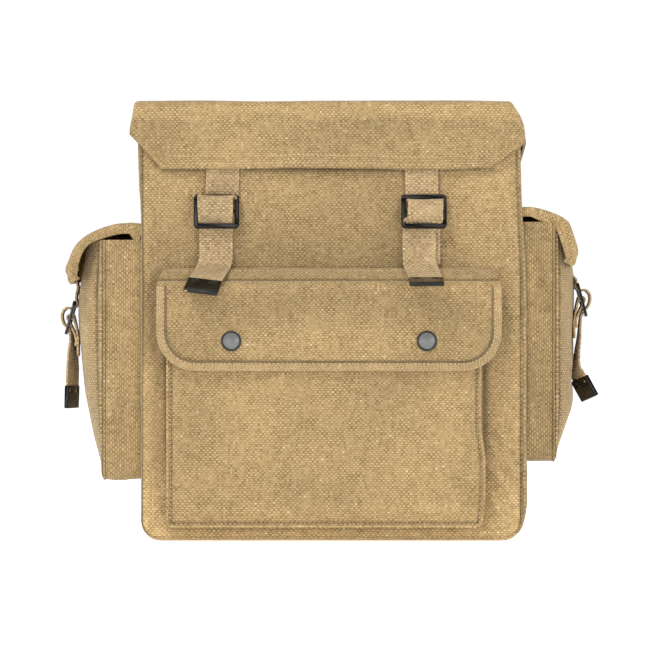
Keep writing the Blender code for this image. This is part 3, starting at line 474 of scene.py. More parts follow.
def woven(name, crown_colour, gap_shade_colour, across, along, relief, seed=0.0):
    """A woven cotton finish: pale crowns, painted shade in its gaps, uneven threads, stray flecks,
    and painted light and shade from the tone.
    """
    material, tree, shader = new_material(
        name,
        Roughness=0.92,
        Specular_IOR_Level=0.18,
        Sheen_Weight=0.22,
        Sheen_Roughness=0.45,
        Sheen_Tint=(1.0, 0.93, 0.80, 1.0),
    )
    maths = partial(calculate, tree)
    place = add_node(tree, "ShaderNodeUVMap", uv_map="cloth")
    moved = add_node(
        tree,
        "ShaderNodeMapping",
        in_Vector=place.outputs[0],
        in_Location=(seed, seed * 0.7, seed),
    ).outputs[0]
    weave = add_node(
        tree,
        "ShaderNodeGroup",
        node_tree=weave_group,
        in_Cloth=moved,
        in_Across=across,
        in_Along=along,
    )
    height, slub, speck = weave.outputs
    fibre = add_noise(tree, moved, 900.0)[0]
    fade = add_noise(tree, moved, 14.0, 3.0)[0]
    tone = add_node(tree, "ShaderNodeAttribute", attribute_name="tone").outputs["Fac"]
    # Painted shade: the colour runs from the shaded gap colour in the hollows between threads to
    # the crown colour on top.
    shade = maths("SUBTRACT", maths("POWER", height, 1.15), 0.45)
    shade = maths("MULTIPLY_ADD", slub, 0.9, shade)
    shade = maths("ADD", shade, maths("MULTIPLY_ADD", speck, 0.34, -0.17), clamp=True)
    colour = mix_colours(tree, shade, gap_shade_colour, crown_colour)
    pale = maths("MULTIPLY", maths("GREATER_THAN", speck, 0.992), 0.28)
    pale = maths("MULTIPLY", pale, height)
    flecked = mix_colours(tree, pale, colour, (0.86, 0.76, 0.55))
    level = maths("MULTIPLY_ADD", fade, 0.46, 0.75)
    level = maths("ADD", level, maths("MULTIPLY_ADD", fibre, 0.30, -0.15))
    # The tone's painted light and shade, with its random unevenness: above 0 paler, below 0 darker.
    paled = maths("MULTIPLY", maths("MAXIMUM", tone, 0.0), 0.18)
    shade_and_mottle = maths("MULTIPLY", maths("MINIMUM", tone, 0.0), 0.55)
    level = maths("ADD", level, maths("ADD", paled, shade_and_mottle))
    lit = with_vectors(tree, "SCALE", in_0=flecked, in_Scale=level)
    raised = maths("MULTIPLY_ADD", fibre, 0.22, height)
    raised = maths("MULTIPLY_ADD", slub, 0.25, raised)
    colour_and_bump(tree, shader, lit, raised, 0.85, relief)
    return material


def dress(piece, material, body, slot, *nodes):
    """Gives a finished piece its material and its body, and hides the solids it is for. slot, its
    finish's name, is not used.
    """
    piece.data.materials.clear()
    piece.data.materials.append(material)
    if body:
        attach(piece, body)
    if nodes:
        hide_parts(*nodes)


# Its second colour is the painted shade in the weave's gaps.
canvas = woven(
    "sand_canvas_weave",
    (0.490, 0.354, 0.176),
    (0.182, 0.115, 0.046),
    THREAD_ACROSS,
    THREAD_ALONG,
    0.0006,
)


def finish_canvas(cloth, body, *nodes, thickness=CANVAS):
    """Gives a laid piece of canvas its thickness, and dresses it."""
    give_thickness(cloth, thickness)
    dress(cloth, canvas, body, "sand_canvas", *nodes)
    return cloth


finish_canvas(cut_cloth("compartment_front", 160, 180, lay_front), "bag", "front_panel")
finish_canvas(cut_cloth("compartment_back", 130, 140, lay_back), "bag", "back_panel")
strip_cloth = cut_cloth("compartment_strip", 380, 48, lay_strip)
finish_canvas(strip_cloth, "bag", "side_panel_left", "side_panel_right", "base_panel")

# ------------------------------------------------------------------ lid
# One cloth that runs from the back seam over the top and down the front, boxed at its two corners,
# where its ears hang down the sides. Its front hem is turned in and stitched twice.

LID_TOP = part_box("main_flap")[1].z + 0.0004
LID_FRONT = -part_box("main_flap")[0].y
LID_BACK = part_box("main_flap")[1].y
LID_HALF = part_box("main_flap")[1].x - 0.0006
FRONT_BEND = 0.0055
SIDE_BEND = {-1: 0.0040, 1: 0.0045}
FRONT_CORNER_DROP = {-1: 0.0262, 1: 0.0330}
BACK_CORNER_DROP = {-1: 0.0255, 1: 0.0460}
CORNER_CUT = {-1: 0.0225, 1: 0.0265}
EAR_SHARE, DROP_SHARE = 0.15, 0.30


def bend_over(distance, flat, radius):
    """Place and drop of a point this far along cloth that lies flat and then bends down."""
    turn = np.clip((distance - flat) / radius, 0, math.pi / 2)
    return np.minimum(distance, flat) + radius * np.sin(turn), radius * (1 - np.cos(turn))


def lay_lid(u, v):
    side = np.where(u < 0.5, -1, 1)
    bend = np.where(side < 0, SIDE_BEND[-1], SIDE_BEND[1])
    from_edge = np.minimum(u, 1 - u)
    ear = np.clip(1 - from_edge / EAR_SHARE, 0, 1)
    reach = LID_HALF - bend + bend * math.pi / 2
    spread = np.clip((0.5 - from_edge) / (0.5 - EAR_SHARE), 0, 1)
    x, drop_side = bend_over(spread * reach, LID_HALF - bend, bend)
    hang = np.clip(1 - v / DROP_SHARE, 0, 1)
    top_run = np.clip((1 - v) / (1 - DROP_SHARE), 0, 1)
    depth = LID_BACK + LID_FRONT
    whole = depth - FRONT_BEND + FRONT_BEND * math.pi / 2
    forward, drop_front = bend_over(top_run * whole, depth - FRONT_BEND, FRONT_BEND)
    corner = np.where(side < 0, FRONT_CORNER_DROP[-1], FRONT_CORNER_DROP[1])
    behind = np.where(side < 0, BACK_CORNER_DROP[-1], BACK_CORNER_DROP[1])
    cut = np.where(side < 0, CORNER_CUT[-1], CORNER_CUT[1])
    lowest = np.interp(
        side * x,
        (-0.128, -0.070, -0.022, 0.030, 0.060, 0.083, 0.123),
        (0.0530, 0.0530, 0.0518, 0.0526, 0.0536, 0.0536, 0.0522),
    )
    front_drop = corner + (lowest - corner) * np.clip((LID_HALF - x) / cut, 0, 1)
    ear_drop = corner + (behind - corner) * (1 - np.clip(forward / depth, 0, 1))
    down = drop_side + drop_front + ear * (ear_drop - bend - drop_front)
    down += hang * (front_drop - drop_side - FRONT_BEND)
    flat_x = side * x
    waves = 0.0005 * uneven(flat_x, forward, 0.05, 0.06, 31)
    z = LID_TOP - down + waves * within(down, 0.02)
    y = LID_BACK - forward
    middle = ease((LID_HALF - x) / 0.02)
    near_fold = within(np.abs(down - 0.008), 0.012) * (down > 0.001)
    crease = 0.0009 * uneven(flat_x, z, 0.045, 0.0045, 33) * near_fold
    slack = 0.0011 * hump(down / 0.05)
    slack += 0.0007 * uneven(flat_x, z, 0.05, 0.03, 35)
    hem = 0.0006 * within(np.abs(front_drop - down - 0.0042), 0.0012)
    hem += 0.0006 * within(np.abs(front_drop - down - 0.0100), 0.0012)
    y = y - (crease + slack - hem) * middle * (hang > 0)
    slope = np.interp(
        down, (0.0, 0.005, 0.0127, 0.0196, 0.034), (-0.0094, -0.0074, -0.0028, -0.0004, 0.0012)
    )
    flare = np.where(side < 0, 0.0030 * ease((down - 0.004) / 0.022), slope)
    flare = flare * (x / LID_HALF) ** 8
    tuck = within(front_drop - down, 0.004) * (hang > 0)
    # Painted highlight along the front fold and on the creases' ridges, and painted shade in their
    # hollows and along the hem's lower edge. The strip just above the hem's edge is paler, and the
    # ears are darker.
    tone = 0.75 * within(np.abs(down - 0.006), 0.012) + 0.35 * tuck * middle - 0.15
    tone += 0.25 * uneven(flat_x, down, 0.05, 0.02, 37) - 0.4 * ear
    tone += 0.6 * crease / 0.0009
    tone = tone - 0.9 * within(front_drop - down, 0.0016) * (hang > 0)
    return side * (x + flare), y, z, side * (spread * reach + ear * 0.03), down + forward, tone


LID_COLUMNS, LID_ROWS = 160, 80


def select_none(kind):
    """Nothing selected on the active piece, so that code can select its faces or edges."""
    bpy.ops.object.mode_set(mode="EDIT")
    bpy.ops.mesh.select_mode(type=kind)
    bpy.ops.mesh.select_all(action="DESELECT")
    bpy.ops.object.mode_set(mode="OBJECT")


def open_corners(cloth):
    """Cuts away the two squares where an ear and the front drop would overlap, and sews them."""
    take(cloth)
    select_none("FACE")
    for polygon in cloth.data.polygons:
        column, row = polygon.index % LID_COLUMNS, polygon.index // LID_COLUMNS
        in_ear = min(column, LID_COLUMNS - 1 - column) < LID_COLUMNS * EAR_SHARE - 0.5
        polygon.select = in_ear and row < LID_ROWS * DROP_SHARE - 0.5
    bpy.ops.object.mode_set(mode="EDIT")
    bpy.ops.mesh.delete(type="FACE")
    bpy.ops.mesh.select_all(action="SELECT")
    bpy.ops.mesh.remove_doubles(threshold=0.0001)
    bpy.ops.object.mode_set(mode="OBJECT")


lid_cloth = cut_cloth("lid", LID_COLUMNS, LID_ROWS, lay_lid)
open_corners(lid_cloth)
finish_canvas(lid_cloth, "main_flap", "main_flap")

# A narrow canvas strip joins the lid to the back.
HINGE_BACK = LID_BACK + 0.0012
HINGE_LEFT, HINGE_RIGHT = -0.1470, 0.1390
hinge_line = np.array(
    [
        (HINGE_BACK, BODY_TOP - 0.0150), (HINGE_BACK, BODY_TOP - 0.0100),
        (HINGE_BACK, BODY_TOP - 0.0050), (HINGE_BACK, BODY_TOP),
        (HINGE_BACK - 0.0003, LID_TOP - 0.0006), (HINGE_BACK - 0.0012, LID_TOP + 0.0006),
        (HINGE_BACK - 0.0030, LID_TOP + 0.0010), (HINGE_BACK - 0.0130, LID_TOP + 0.0010),
    ]
)
hinge_run = run_along(hinge_line)


def lay_hinge(u, v):
    x = HINGE_RIGHT + u * (HINGE_LEFT - HINGE_RIGHT)
    run = v * hinge_run[-1]
    y = np.interp(run, hinge_run, hinge_line[:, 0])
    z = np.interp(run, hinge_run, hinge_line[:, 1])
    edge = np.minimum(v, 1 - v) * hinge_run[-1]
    # Painted shade: a dark line along both sewn edges.
    tone = 0.3 * uneven(x, run, 0.04, 0.02, 151) - 0.8 * within(edge, 0.0012)
    return x, y, z, -x + 0.1, run, tone


hinge_strip = cut_cloth("lid_hinge_strip", 150, 20, lay_hinge)
finish_canvas(hinge_strip, None, thickness=0.0010)
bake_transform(hinge_strip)

# ------------------------------------------------------------------ stitching
# Waxed cotton thread. One stitch is a short fat roll that dips into the cloth at both ends, and it
# is repeated along every sewn row, lying on the cloth that it holds.

STITCH_PITCH = 0.0034
STITCH_LENGTH = 0.0025
STITCH_RADIUS = 0.00042

bpy.ops.object.select_all(action="DESELECT")
bpy.ops.mesh.primitive_cylinder_add(
    vertices=6, radius=STITCH_RADIUS, depth=STITCH_LENGTH * 0.6, rotation=(0, math.pi / 2, 0)
)
one_stitch = bpy.context.object
bpy.ops.object.transform_apply(location=True, rotation=True, scale=True)
select_none("FACE")
for end in (-1, 1):
    for polygon in one_stitch.data.polygons:
        polygon.select = polygon.normal.x * end > 0.9
    bpy.ops.object.mode_set(mode="EDIT")
    bpy.ops.mesh.extrude_region_move(
        TRANSFORM_OT_translate={"value": (end * STITCH_LENGTH * 0.2, 0, 0)}
    )
    bpy.ops.transform.resize(value=(1, 0.45, 0.45))
    bpy.ops.transform.translate(value=(0, 0, -STITCH_RADIUS * 0.7))
    bpy.ops.mesh.select_all(action="DESELECT")
    bpy.ops.object.mode_set(mode="OBJECT")
stitch_points = np.array([vertex.co for vertex in one_stitch.data.vertices])
stitch_faces = [tuple(polygon.vertices) for polygon in one_stitch.data.polygons]
bpy.data.objects.remove(one_stitch)


def spread_points(line, pitch):
    """Even points along a line, and the line's direction at each."""
    line = np.asarray(line, float)
    run = run_along(line)
    count = max(2, round(run[-1] / pitch))
    wanted = (np.arange(count) + 0.5) * run[-1] / count
    behind, at, ahead = (
        np.stack([np.interp(wanted + step, run, line[:, i]) for i in range(3)], axis=1)
        for step in (-0.0005, 0, 0.0005)
    )
    return at, ahead - behind


def sew(name, cloths, lines, towards, material, body, slot="sand_canvas", pitch=STITCH_PITCH):
    """Lays rows of stitches on cloth. towards is the way from the sewer's eye to the cloth."""
    towards = Vector(towards)
    chance = np.random.default_rng(len(name) * 7 + len(lines))
    reach = 0.03
    points, faces = [], []
    for line in lines:
        for at, way in zip(*spread_points(line, pitch)):
            at = Vector(at)
            best = None
            for cloth in cloths:
                start = at - towards * reach
                struck, place, normal, _ = cloth.ray_cast(start, towards, distance=2 * reach)
                if struck and (best is None or (place - start).length < best[2]):
                    best = (place, normal, (place - start).length)
            if best is None:
                continue
            place, up = best[0], best[1].normalized()
            along = Vector(way)
            along = (along - up * along.dot(up)).normalized()
            turn = Matrix((along, up.cross(along), up)).transposed()
            turn = turn @ Matrix.Rotation(chance.uniform(-0.12, 0.12), 3, "Z")
            size = chance.uniform(0.9, 1.1)
            base = len(points)
            sunk = place - up * STITCH_RADIUS * 0.25
            points += [sunk + turn @ (Vector(p) * size) for p in stitch_points]
            faces += [tuple(base + i for i in face) for face in stitch_faces]
    mesh = bpy.data.meshes.new(name)
    mesh.from_pydata([tuple(p) for p in points], [], faces)
    mesh.update()
    rows = bpy.data.objects.new(name, mesh)
    bpy.context.collection.objects.link(rows)
    dress(rows, material, body, slot)
    return rows


def twisted_thread(name, colour):
    """Cotton thread: two plies wound round each other, duller where it is worn."""
    material, tree, shader = new_material(name, Roughness=0.75, Specular_IOR_Level=0.25)
    maths = partial(calculate, tree)
    place = add_node(tree, "ShaderNodeTexCoord").outputs["Object"]
    ply = add_node(
        tree,
        "ShaderNodeTexWave",
        in_Vector=place,
        in_Scale=700.0,
        in_Distortion=1.5,
        bands_direction="DIAGONAL",
    ).outputs["Fac"]
    fade = add_noise(tree, place, 220.0)[0]
    shade = maths("MULTIPLY_ADD", ply, 0.45, maths("MULTIPLY", fade, 0.9))
    tint = mix_colours(tree, shade, tuple(part * 0.45 for part in colour), colour)
    colour_and_bump(tree, shader, tint, ply, 0.5, 0.0002)
    return material


thread = twisted_thread("sand_thread", (0.60, 0.44, 0.24))
LID_HEM = (  # place across the front, and how far the hem is below the lid's top
    (-0.124, 0.0526), (-0.070, 0.0530), (-0.022, 0.0518), (0.030, 0.0526), (0.060, 0.0536),
    (0.083, 0.0536), (0.119, 0.0524),
)
hem_lines = [
    [(x, -LID_FRONT, LID_TOP - drop + above_edge) for x, drop in LID_HEM]
    for above_edge in (0.0042, 0.0100)
]
strap_row = [(0.0640, -LID_FRONT, z) for z in (0.3075, 0.2890)]
sew("lid_stitches", [lid_cloth], [*hem_lines, strap_row], (0, 1, 0), thread, "main_flap")

# ------------------------------------------------------------------ front pocket
# A patch pocket: a canvas panel on a narrow strip. The panel's edge is pinched into a standing
# ridge by a row of stitches just inside it, and the cloth bellies out a little between the rows.

low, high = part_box("front_pocket_panel")
POCKET_LEFT, POCKET_RIGHT = low.x, high.x
POCKET_LOW, POCKET_HIGH = low.z, high.z
POCKET_FACE = -low.y
POCKET_CORNER = 0.005
RIDGE_ROW = 0.0034


def pocket_right(z):
    """The pocket's right edge wanders in and out a little on its way down."""
    wander = 0.0032 * ease((0.09 - z) / 0.03) - 0.0028 * ease((0.035 - z) / 0.03)
    return POCKET_RIGHT - 0.0030 + wander


def lay_pocket(u, v):
    z = POCKET_LOW + v * (POCKET_HIGH - POCKET_LOW)
    pull = corner_inset(z - POCKET_LOW, POCKET_CORNER)
    left, right = POCKET_LEFT + pull, pocket_right(z) - pull
    x = left + u * (right - left)
    edge = np.minimum(np.minimum(x - left, right - x), z - POCKET_LOW)
    ridge = 0.0015 * bell(edge - 0.0012, 0.0010)
    groove = -0.0016 * bell(edge - RIDGE_ROW, 0.0011)
    belly = 0.0020 * ease(edge / 0.030) * ease((z - 0.01) / 0.05)
    soft_fold = z - 0.0255 - 0.0015 * np.sin(x * 30)
    roll = 0.0022 * bell(soft_fold, 0.0045) * ease(edge / 0.01)
    inner = ease((edge - 0.004) / 0.012)
    pucker = 0.0007 * uneven(x, z, 0.012, 0.018, 41) * bell(edge - 0.008, 0.006)
    soft = 0.0012 * uneven(x, z, 0.05, 0.035, 43) - 0.0013 * (1 - folds(x, z, 0.024, 24, 45))
    soft = inner * soft
    drag = inner * 0.0015 * folds(x, z, 0.018, -58, 47) * ease((z - 0.06) / 0.05)
    y = -(POCKET_FACE - 0.0008 + ridge + groove + belly + roll + pucker + soft + drag)
    # Painted highlight on the standing ridge and the soft fold, painted shade in the stitched
    # groove, and painted light towards the pocket's foot.
    tone = 1.5 * ridge / 0.0015 + 0.9 * groove / 0.0016 + 0.4 * roll / 0.0022
    tone += 0.35 * uneven(x, z, 0.06, 0.04, 49) * inner + 0.15 * ease((0.09 - z) / 0.08)
    return x, y, z, x + 0.3, z, tone


def band_along(name, rail, near, far, swell, turned, columns, rows):
    """A strip of cloth that follows a rail of (across, up) points and spans near to far in depth.

    swell gives how far it stands out from the rail, and its tone, from the run and the share of
    depth. turned lays (across, depth, up) in the bag's own x, y and z.
    """
    run_at = run_along(rail)

    def lay(u, v):
        run = u * run_at[-1]
        across, up = np.interp(run, run_at, rail[:, 0]), np.interp(run, run_at, rail[:, 1])
        out_across, out_up = way_out(run, run_at, rail, 0.0015)
        stand, tone = swell(run, v)
        depth = near + v * (far - near)
        x, y, z = turned(across + out_across * stand, depth, up + out_up * stand)
        return x, y, z, run, depth, tone

    band = cut_cloth(name, columns, rows, lay)
    band.data.flip_normals()
    return band


def u_rail(left, right, low, high, radius):
    """Down the left, round the bottom and up the right, as (across, up) points."""
    turn = np.linspace(0, math.pi / 2, 9)
    down = np.linspace(high, low + radius, 40)[:-1]
    across = [np.full(39, left), left + radius * (1 - np.cos(turn))]
    up = [down, low + radius * (1 - np.sin(turn))]
    across += [np.linspace(left + radius, right - radius, 30)[1:-1]]
    up += [np.full(28, low)]
    across += [right - radius * (1 - np.sin(turn)), np.full(39, right)]
    up += [low + radius * (1 - np.cos(turn)), down[::-1]]
    return np.stack([np.concatenate(across), np.concatenate(up)], axis=1)


def pocket_strip_swell(run, share):
    waves = 0.0004 * uneven(run, share * 0.014, 0.02, 0.010, 51)
    # Painted shade: the strip is darker, most of all near the body.
    return waves * np.sin(share * math.pi), -0.3 - 0.4 * ease((share - 0.7) / 0.3)


pocket_cloth = cut_cloth("front_pocket", 200, 150, lay_pocket)
finish_canvas(pocket_cloth, "bag", "front_pocket_panel", thickness=CANVAS * 0.9)
strip_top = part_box("front_pocket_gusset")[1].z
pocket_strip = band_along(
    "front_pocket_strip",
    u_rail(POCKET_LEFT + 0.0004, POCKET_RIGHT - 0.0022, POCKET_LOW + 0.0004, strip_top, 0.005),
    -POCKET_FACE + 0.0016,
    -FRONT_FACE + 0.0012,
    pocket_strip_swell,
    lambda across, depth, up: (across, depth, up),
    220,
    8,
)
finish_canvas(pocket_strip, "bag", "front_pocket_gusset")


def inset_row(inset):
    """The row of stitches this far inside the pocket's edge."""
    low = POCKET_LOW + inset
    heights = np.linspace(POCKET_HIGH, low + 0.004, 40)
    left = [(POCKET_LEFT + inset, z) for z in heights]
    right = [(pocket_right(z) - inset, z) for z in heights[::-1]]
    foot = [(left[-1][0] + 0.004, low), (right[0][0] - 0.004, low)]
    return [(x, -POCKET_FACE, z) for x, z in (*left, *foot, *right)]


sew("front_pocket_stitches", [pocket_cloth], [inset_row(RIDGE_ROW)], (0, 1, 0), thread, "bag")

# ------------------------------------------------------------------ front pocket's flap
# Canvas sewn across the front over the pocket. It runs out over the pocket as a narrow band, rolls
# over its fold and hangs down. Its edge is bound in tape, which is stitched through near its edge.

FLAP_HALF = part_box("front_pocket_flap_binding")[1].x
FLAP_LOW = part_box("front_pocket_flap_binding")[0].z
FLAP_FACE = -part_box("front_pocket_flap")[0].y
FLAP_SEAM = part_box("front_pocket_flap_band")[1].z
FLAP_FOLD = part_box("front_pocket_flap_band")[0].z
FLAP_CORNER = 0.030
TAPE_WIDTH = 0.0080
TAPE_LENGTH = 0.42
TAPE_FOLD = 0.14
SAG, SAG_HALF = 0.0012, 0.1325
STUD_ACROSS, STUD_UP = 0.075, 0.154


def smooth_line(points, spacing):
    """An even, rounded line through points, and how far along it each new point is.

    It is a Catmull-Rom spline. A point's first three numbers are its place, and more ride along.
    """
    points = np.asarray(points, float)
    ends = np.concatenate([[2 * points[0] - points[1]], points, [2 * points[-1] - points[-2]]])
    fine = []
    for i in range(1, len(ends) - 2):
        a, b, c, d = ends[i - 1 : i + 3]
        for s in np.linspace(0, 1, 16, endpoint=False):
            bent = (2 * a - 5 * b + 4 * c - d) * s**2 + (3 * b - a - 3 * c + d) * s**3
            fine.append(0.5 * (2 * b + (c - a) * s + bent))
    fine = np.array([*fine, points[-1]])
    run = run_along(fine[:, :3])
    wanted = np.linspace(0, run[-1], max(3, round(run[-1] / spacing)))
    even = [np.interp(wanted, run, column) for column in fine.T]
    return np.stack(even, axis=1), wanted


flap_rail, flap_run = smooth_line(
    [
        (FRONT_FACE + 0.0012, FLAP_SEAM - 0.0005), (FRONT_FACE + 0.0030, FLAP_SEAM - 0.0012),
        (FRONT_FACE + 0.0072, FLAP_SEAM - 0.0038), (FRONT_FACE + 0.0120, FLAP_SEAM - 0.0078),
        (FRONT_FACE + 0.0146, FLAP_SEAM - 0.0108), (FRONT_FACE + 0.0172, FLAP_SEAM - 0.0106),
        (FLAP_FACE - 0.0016, FLAP_FOLD - 0.0002), (FLAP_FACE + 0.0004, FLAP_FOLD - 0.0034),
        (FLAP_FACE + 0.0006, FLAP_FOLD - 0.010), (FLAP_FACE + 0.0006, FLAP_FOLD - 0.030),
        (FLAP_FACE + 0.0004, FLAP_FOLD - 0.050), (FLAP_FACE, FLAP_LOW + 0.0014),
    ],
    0.001,
)


def lay_flap(u, v):
    run = (1 - v) * flap_run[-1]
    outward = np.interp(run, flap_run, flap_rail[:, 0])
    z = np.interp(run, flap_run, flap_rail[:, 1])
    on_band = run < 0.020
    half = FLAP_HALF - 0.0010 - np.where(on_band, 0.004 * ease((0.020 - run) / 0.02), 0)
    half = half - corner_inset(z - FLAP_LOW, FLAP_CORNER) * ~on_band
    x = (2 * u - 1) * half
    edge = np.minimum(half - np.abs(x), z - FLAP_LOW)
    face = ease((run - 0.024) / 0.01)
    soft = 0.0009 * uneven(x, z, 0.045, 0.025, 61) - 0.0010 * (1 - folds(x, z, 0.022, 14, 63))
    sag = SAG * np.cos(x / SAG_HALF * math.pi / 2) * ease((run - 0.02) / 0.03)
    dimple = -0.0012 * bell(np.hypot(np.abs(x) - STUD_ACROSS, z - STUD_UP), 0.012)
    press = ease(edge / 0.010) * face
    outward = outward + (soft + sag + 0.0006) * press + dimple * face
    z += 0.0005 * uneven(x, run * 0, 0.03, 0.1, 65) * ~on_band * ease((run - 0.018) / 0.004)
    # Painted highlight along the top of the fold, and paler right at the seam. Painted shade in the
    # dip before the fold's top.
    tone = 0.5 * within(np.abs(run - 0.0215), 0.004) + 0.5 * within(run, 0.003)
    tone = tone - 0.9 * within(np.abs(run - 0.0160), 0.0022)
    tone += (0.3 * uneven(x, z, 0.05, 0.03, 67) - 0.12) * face
    return x, -outward, z, x - 0.25, run, tone


flap_cloth = cut_cloth("front_pocket_flap_cloth", 200, 96, lay_flap)
finish_canvas(flap_cloth, None, "front_pocket_flap", "front_pocket_flap_band")
seam_half = FLAP_HALF - 0.008
flap_seam_row = [(x, -FRONT_FACE, FLAP_SEAM - 0.0026) for x in (-seam_half, seam_half)]
sew("flap_seam_stitches", [flap_cloth], [flap_seam_row], (0, 1, 0), thread, "bag")


def binding_line(inset):
    """Down one side of the flap, round its corners and up the other, this far inside its edge."""
    half, corner = FLAP_HALF - inset, FLAP_CORNER - inset
    rail = u_rail(-half, half, FLAP_LOW + inset, FLAP_FOLD - 0.0030, corner)
    return smooth_line(rail, 0.0012)[0]


def lay_tape(u, v):
    """The tape is creased over the cloth's edge, so it goes front, round the edge, and back."""
    from_fold = np.abs(v - 0.5)
    wrap = np.clip(from_fold / TAPE_FOLD, 0, 1)
    inset = 0.0016 * (1 - np.cos(wrap * math.pi / 2))
    inset += TAPE_WIDTH * np.clip((from_fold - TAPE_FOLD) / (0.5 - TAPE_FOLD), 0, 1) * 0.8
    mix = inset / TAPE_WIDTH
    x, z = 0, 0
    for line, share in ((binding_line(0.0), 1 - mix), (binding_line(TAPE_WIDTH), mix)):
        at = np.linspace(0, 1, len(line))
        x += np.interp(u, at, line[:, 0]) * share
        z += np.interp(u, at, line[:, 1]) * share
    sewn = 0.0005 * bell(inset - 0.0052, 0.0012)
    puff = 0.0003 * uneven(u * TAPE_LENGTH, inset, 0.009, 0.01, 71)
    thick = 0.0020 * np.sin(wrap * math.pi / 2)
    lift = thick * (1 + 0.1 * np.sin(mix * math.pi)) + puff - sewn
    sag = SAG * np.cos(np.clip(x / SAG_HALF, -1, 1) * math.pi / 2) * 0.35
    y = -(FLAP_FACE - CANVAS / 2 + np.where(v < 0.5, 1, -1) * lift + sag)
    # Paler along the folded edge. Painted shade along the tape's inner edge, where it meets the
    # flap.
    tone = 0.25 * within(inset, 0.0022) - 1.0 * ease((inset - 0.0050) / 0.0012)
    return x, y, z, u * TAPE_LENGTH, v * 2 * TAPE_WIDTH, tone


# Its second colour is the painted shade in the weave's gaps.
tape = woven(
    "sand_binding_weave", (0.485, 0.352, 0.186), (0.205, 0.132, 0.058), 0.0014, 0.0013, 0.0003, 1.7
)
binding = cut_cloth("front_pocket_flap_binding_tape", 400, 22, lay_tape)
binding.data.flip_normals()
give_thickness(binding, 0.0006)
dress(binding, tape, "pocket_flap", "sand_binding", "front_pocket_flap_binding")
tape_row = [(x, -FLAP_FACE, z) for x, z in binding_line(0.0056)]
sew(
    "flap_binding_stitches",
    [binding],
    [tape_row],
    (0, 1, 0),
    thread,
    "pocket_flap",
    "sand_binding",
)
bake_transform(flap_cloth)

# ------------------------------------------------------------------ press studs
# Four-part brass studs, painted gunmetal. The cap is a domed disc with a rolled rim, pressed
# through the flap into its socket; the stud and the post are set in the pocket's panel.


def painted_metal(name, colour, worn_colour, roughness, wear, **finish):
    """Stove enamel over metal: a little orange peel, fine scuffs, and bright edges where the enamel
    has worn.
    """
    material, tree, shader = new_material(name, Coat_Roughness=0.12, **finish)
    maths = partial(calculate, tree)
    place = add_node(tree, "ShaderNodeTexCoord").outputs["Object"]
    scuff = add_noise(tree, place, 420.0, 4.0, 0.7)[0]
    grain = add_noise(tree, place, 1600.0)[0]
    pointed = add_node(tree, "ShaderNodeNewGeometry").outputs["Pointiness"]
    edge = maths("MULTIPLY", maths("SUBTRACT", pointed, 0.60), 9.0, clamp=True)
    paled = maths("MULTIPLY", edge, maths("MULTIPLY", scuff, wear), clamp=True)
    tint = mix_colours(tree, paled, colour, worn_colour)
    tree.links.new(maths("MULTIPLY_ADD", scuff, 0.25, roughness - 0.12), shader.inputs["Roughness"])
    colour_and_bump(tree, shader, tint, grain, 0.12, 0.0002)
    return material


stud_face = painted_metal(
    "stud_face",
    (0.125, 0.129, 0.125),
    (0.36, 0.36, 0.34),
    roughness=0.45,
    wear=0.8,
    Metallic=0.35,
    Coat_Weight=0.15,
)
stud_rim = painted_metal(
    "stud_rim",
    (0.016, 0.015, 0.015),
    (0.20, 0.18, 0.16),
    roughness=0.38,
    wear=0.9,
    Metallic=0.4,
    Coat_Weight=0.3,
)
low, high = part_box("snap_left_cap")
CAP_RADIUS = (high.x - low.x) / 2
CAP_FACE = -low.y
FACE_SHARE = 0.83
CAP_RINGS = (  # share of the radius, and how far in front of the rim's foot
    (1.00, 0.0000), (1.03, 0.0006), (1.02, 0.0012), (0.96, 0.0017), (0.88, 0.0018),
    (0.83, 0.0014), (0.80, 0.0011), (0.72, 0.0013), (0.50, 0.0018), (0.25, 0.0021),
    (0.04, 0.0022),
)


def turn_cap(name):
    """Built on its back like a coin: each ring is extruded from the last one and resized."""
    bpy.ops.object.select_all(action="DESELECT")
    bpy.ops.mesh.primitive_circle_add(vertices=64, radius=CAP_RADIUS, fill_type="NGON")
    cap = bpy.context.object
    cap.name = name
    bpy.ops.object.mode_set(mode="EDIT")
    bpy.ops.mesh.select_mode(type="FACE")
    bpy.ops.mesh.select_all(action="SELECT")
    size, height = CAP_RINGS[0]
    for next_size, next_height in CAP_RINGS[1:]:
        bpy.ops.mesh.extrude_region_move(
            TRANSFORM_OT_translate={"value": (0, 0, next_height - height)}
        )
        shrink = next_size / size
        bpy.ops.transform.resize(value=(shrink, shrink, 1))
        size, height = next_size, next_height
    bpy.ops.mesh.select_all(action="SELECT")
    bpy.ops.mesh.normals_make_consistent(inside=False)
    bpy.ops.object.mode_set(mode="OBJECT")
    bpy.ops.object.shade_smooth()
    return cap


for side in ("left", "right"):
    low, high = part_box(f"snap_{side}_cap")
    cap = turn_cap(f"snap_{side}_dome")
    seat = Vector(((low.x + high.x) / 2, -CAP_FACE + 0.0016, (low.z + high.z) / 2))
    cap.data.transform(Matrix.Translation(seat) @ Matrix.Rotation(math.pi / 2, 4, "X"))
    dress(cap, stud_rim, "pocket_flap", "gunmetal", f"snap_{side}_cap")
    cap.data.materials.append(stud_face)
    for polygon in cap.data.polygons:
        if (polygon.center - seat).length < CAP_RADIUS * FACE_SHARE:
            polygon.material_index = 1
    for part in ("socket", "stud", "post"):
        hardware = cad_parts[f"snap_{side}_{part}"]
        for slot in hardware.material_slots:
            slot.material = stud_rim

# ------------------------------------------------------------------ buckles and strap ends
# The buckles are flat stamped frames with rounded edges and a round bar across the middle, in
# black enamel. Each strap's end is clenched in a folded tip of the same black sheet.

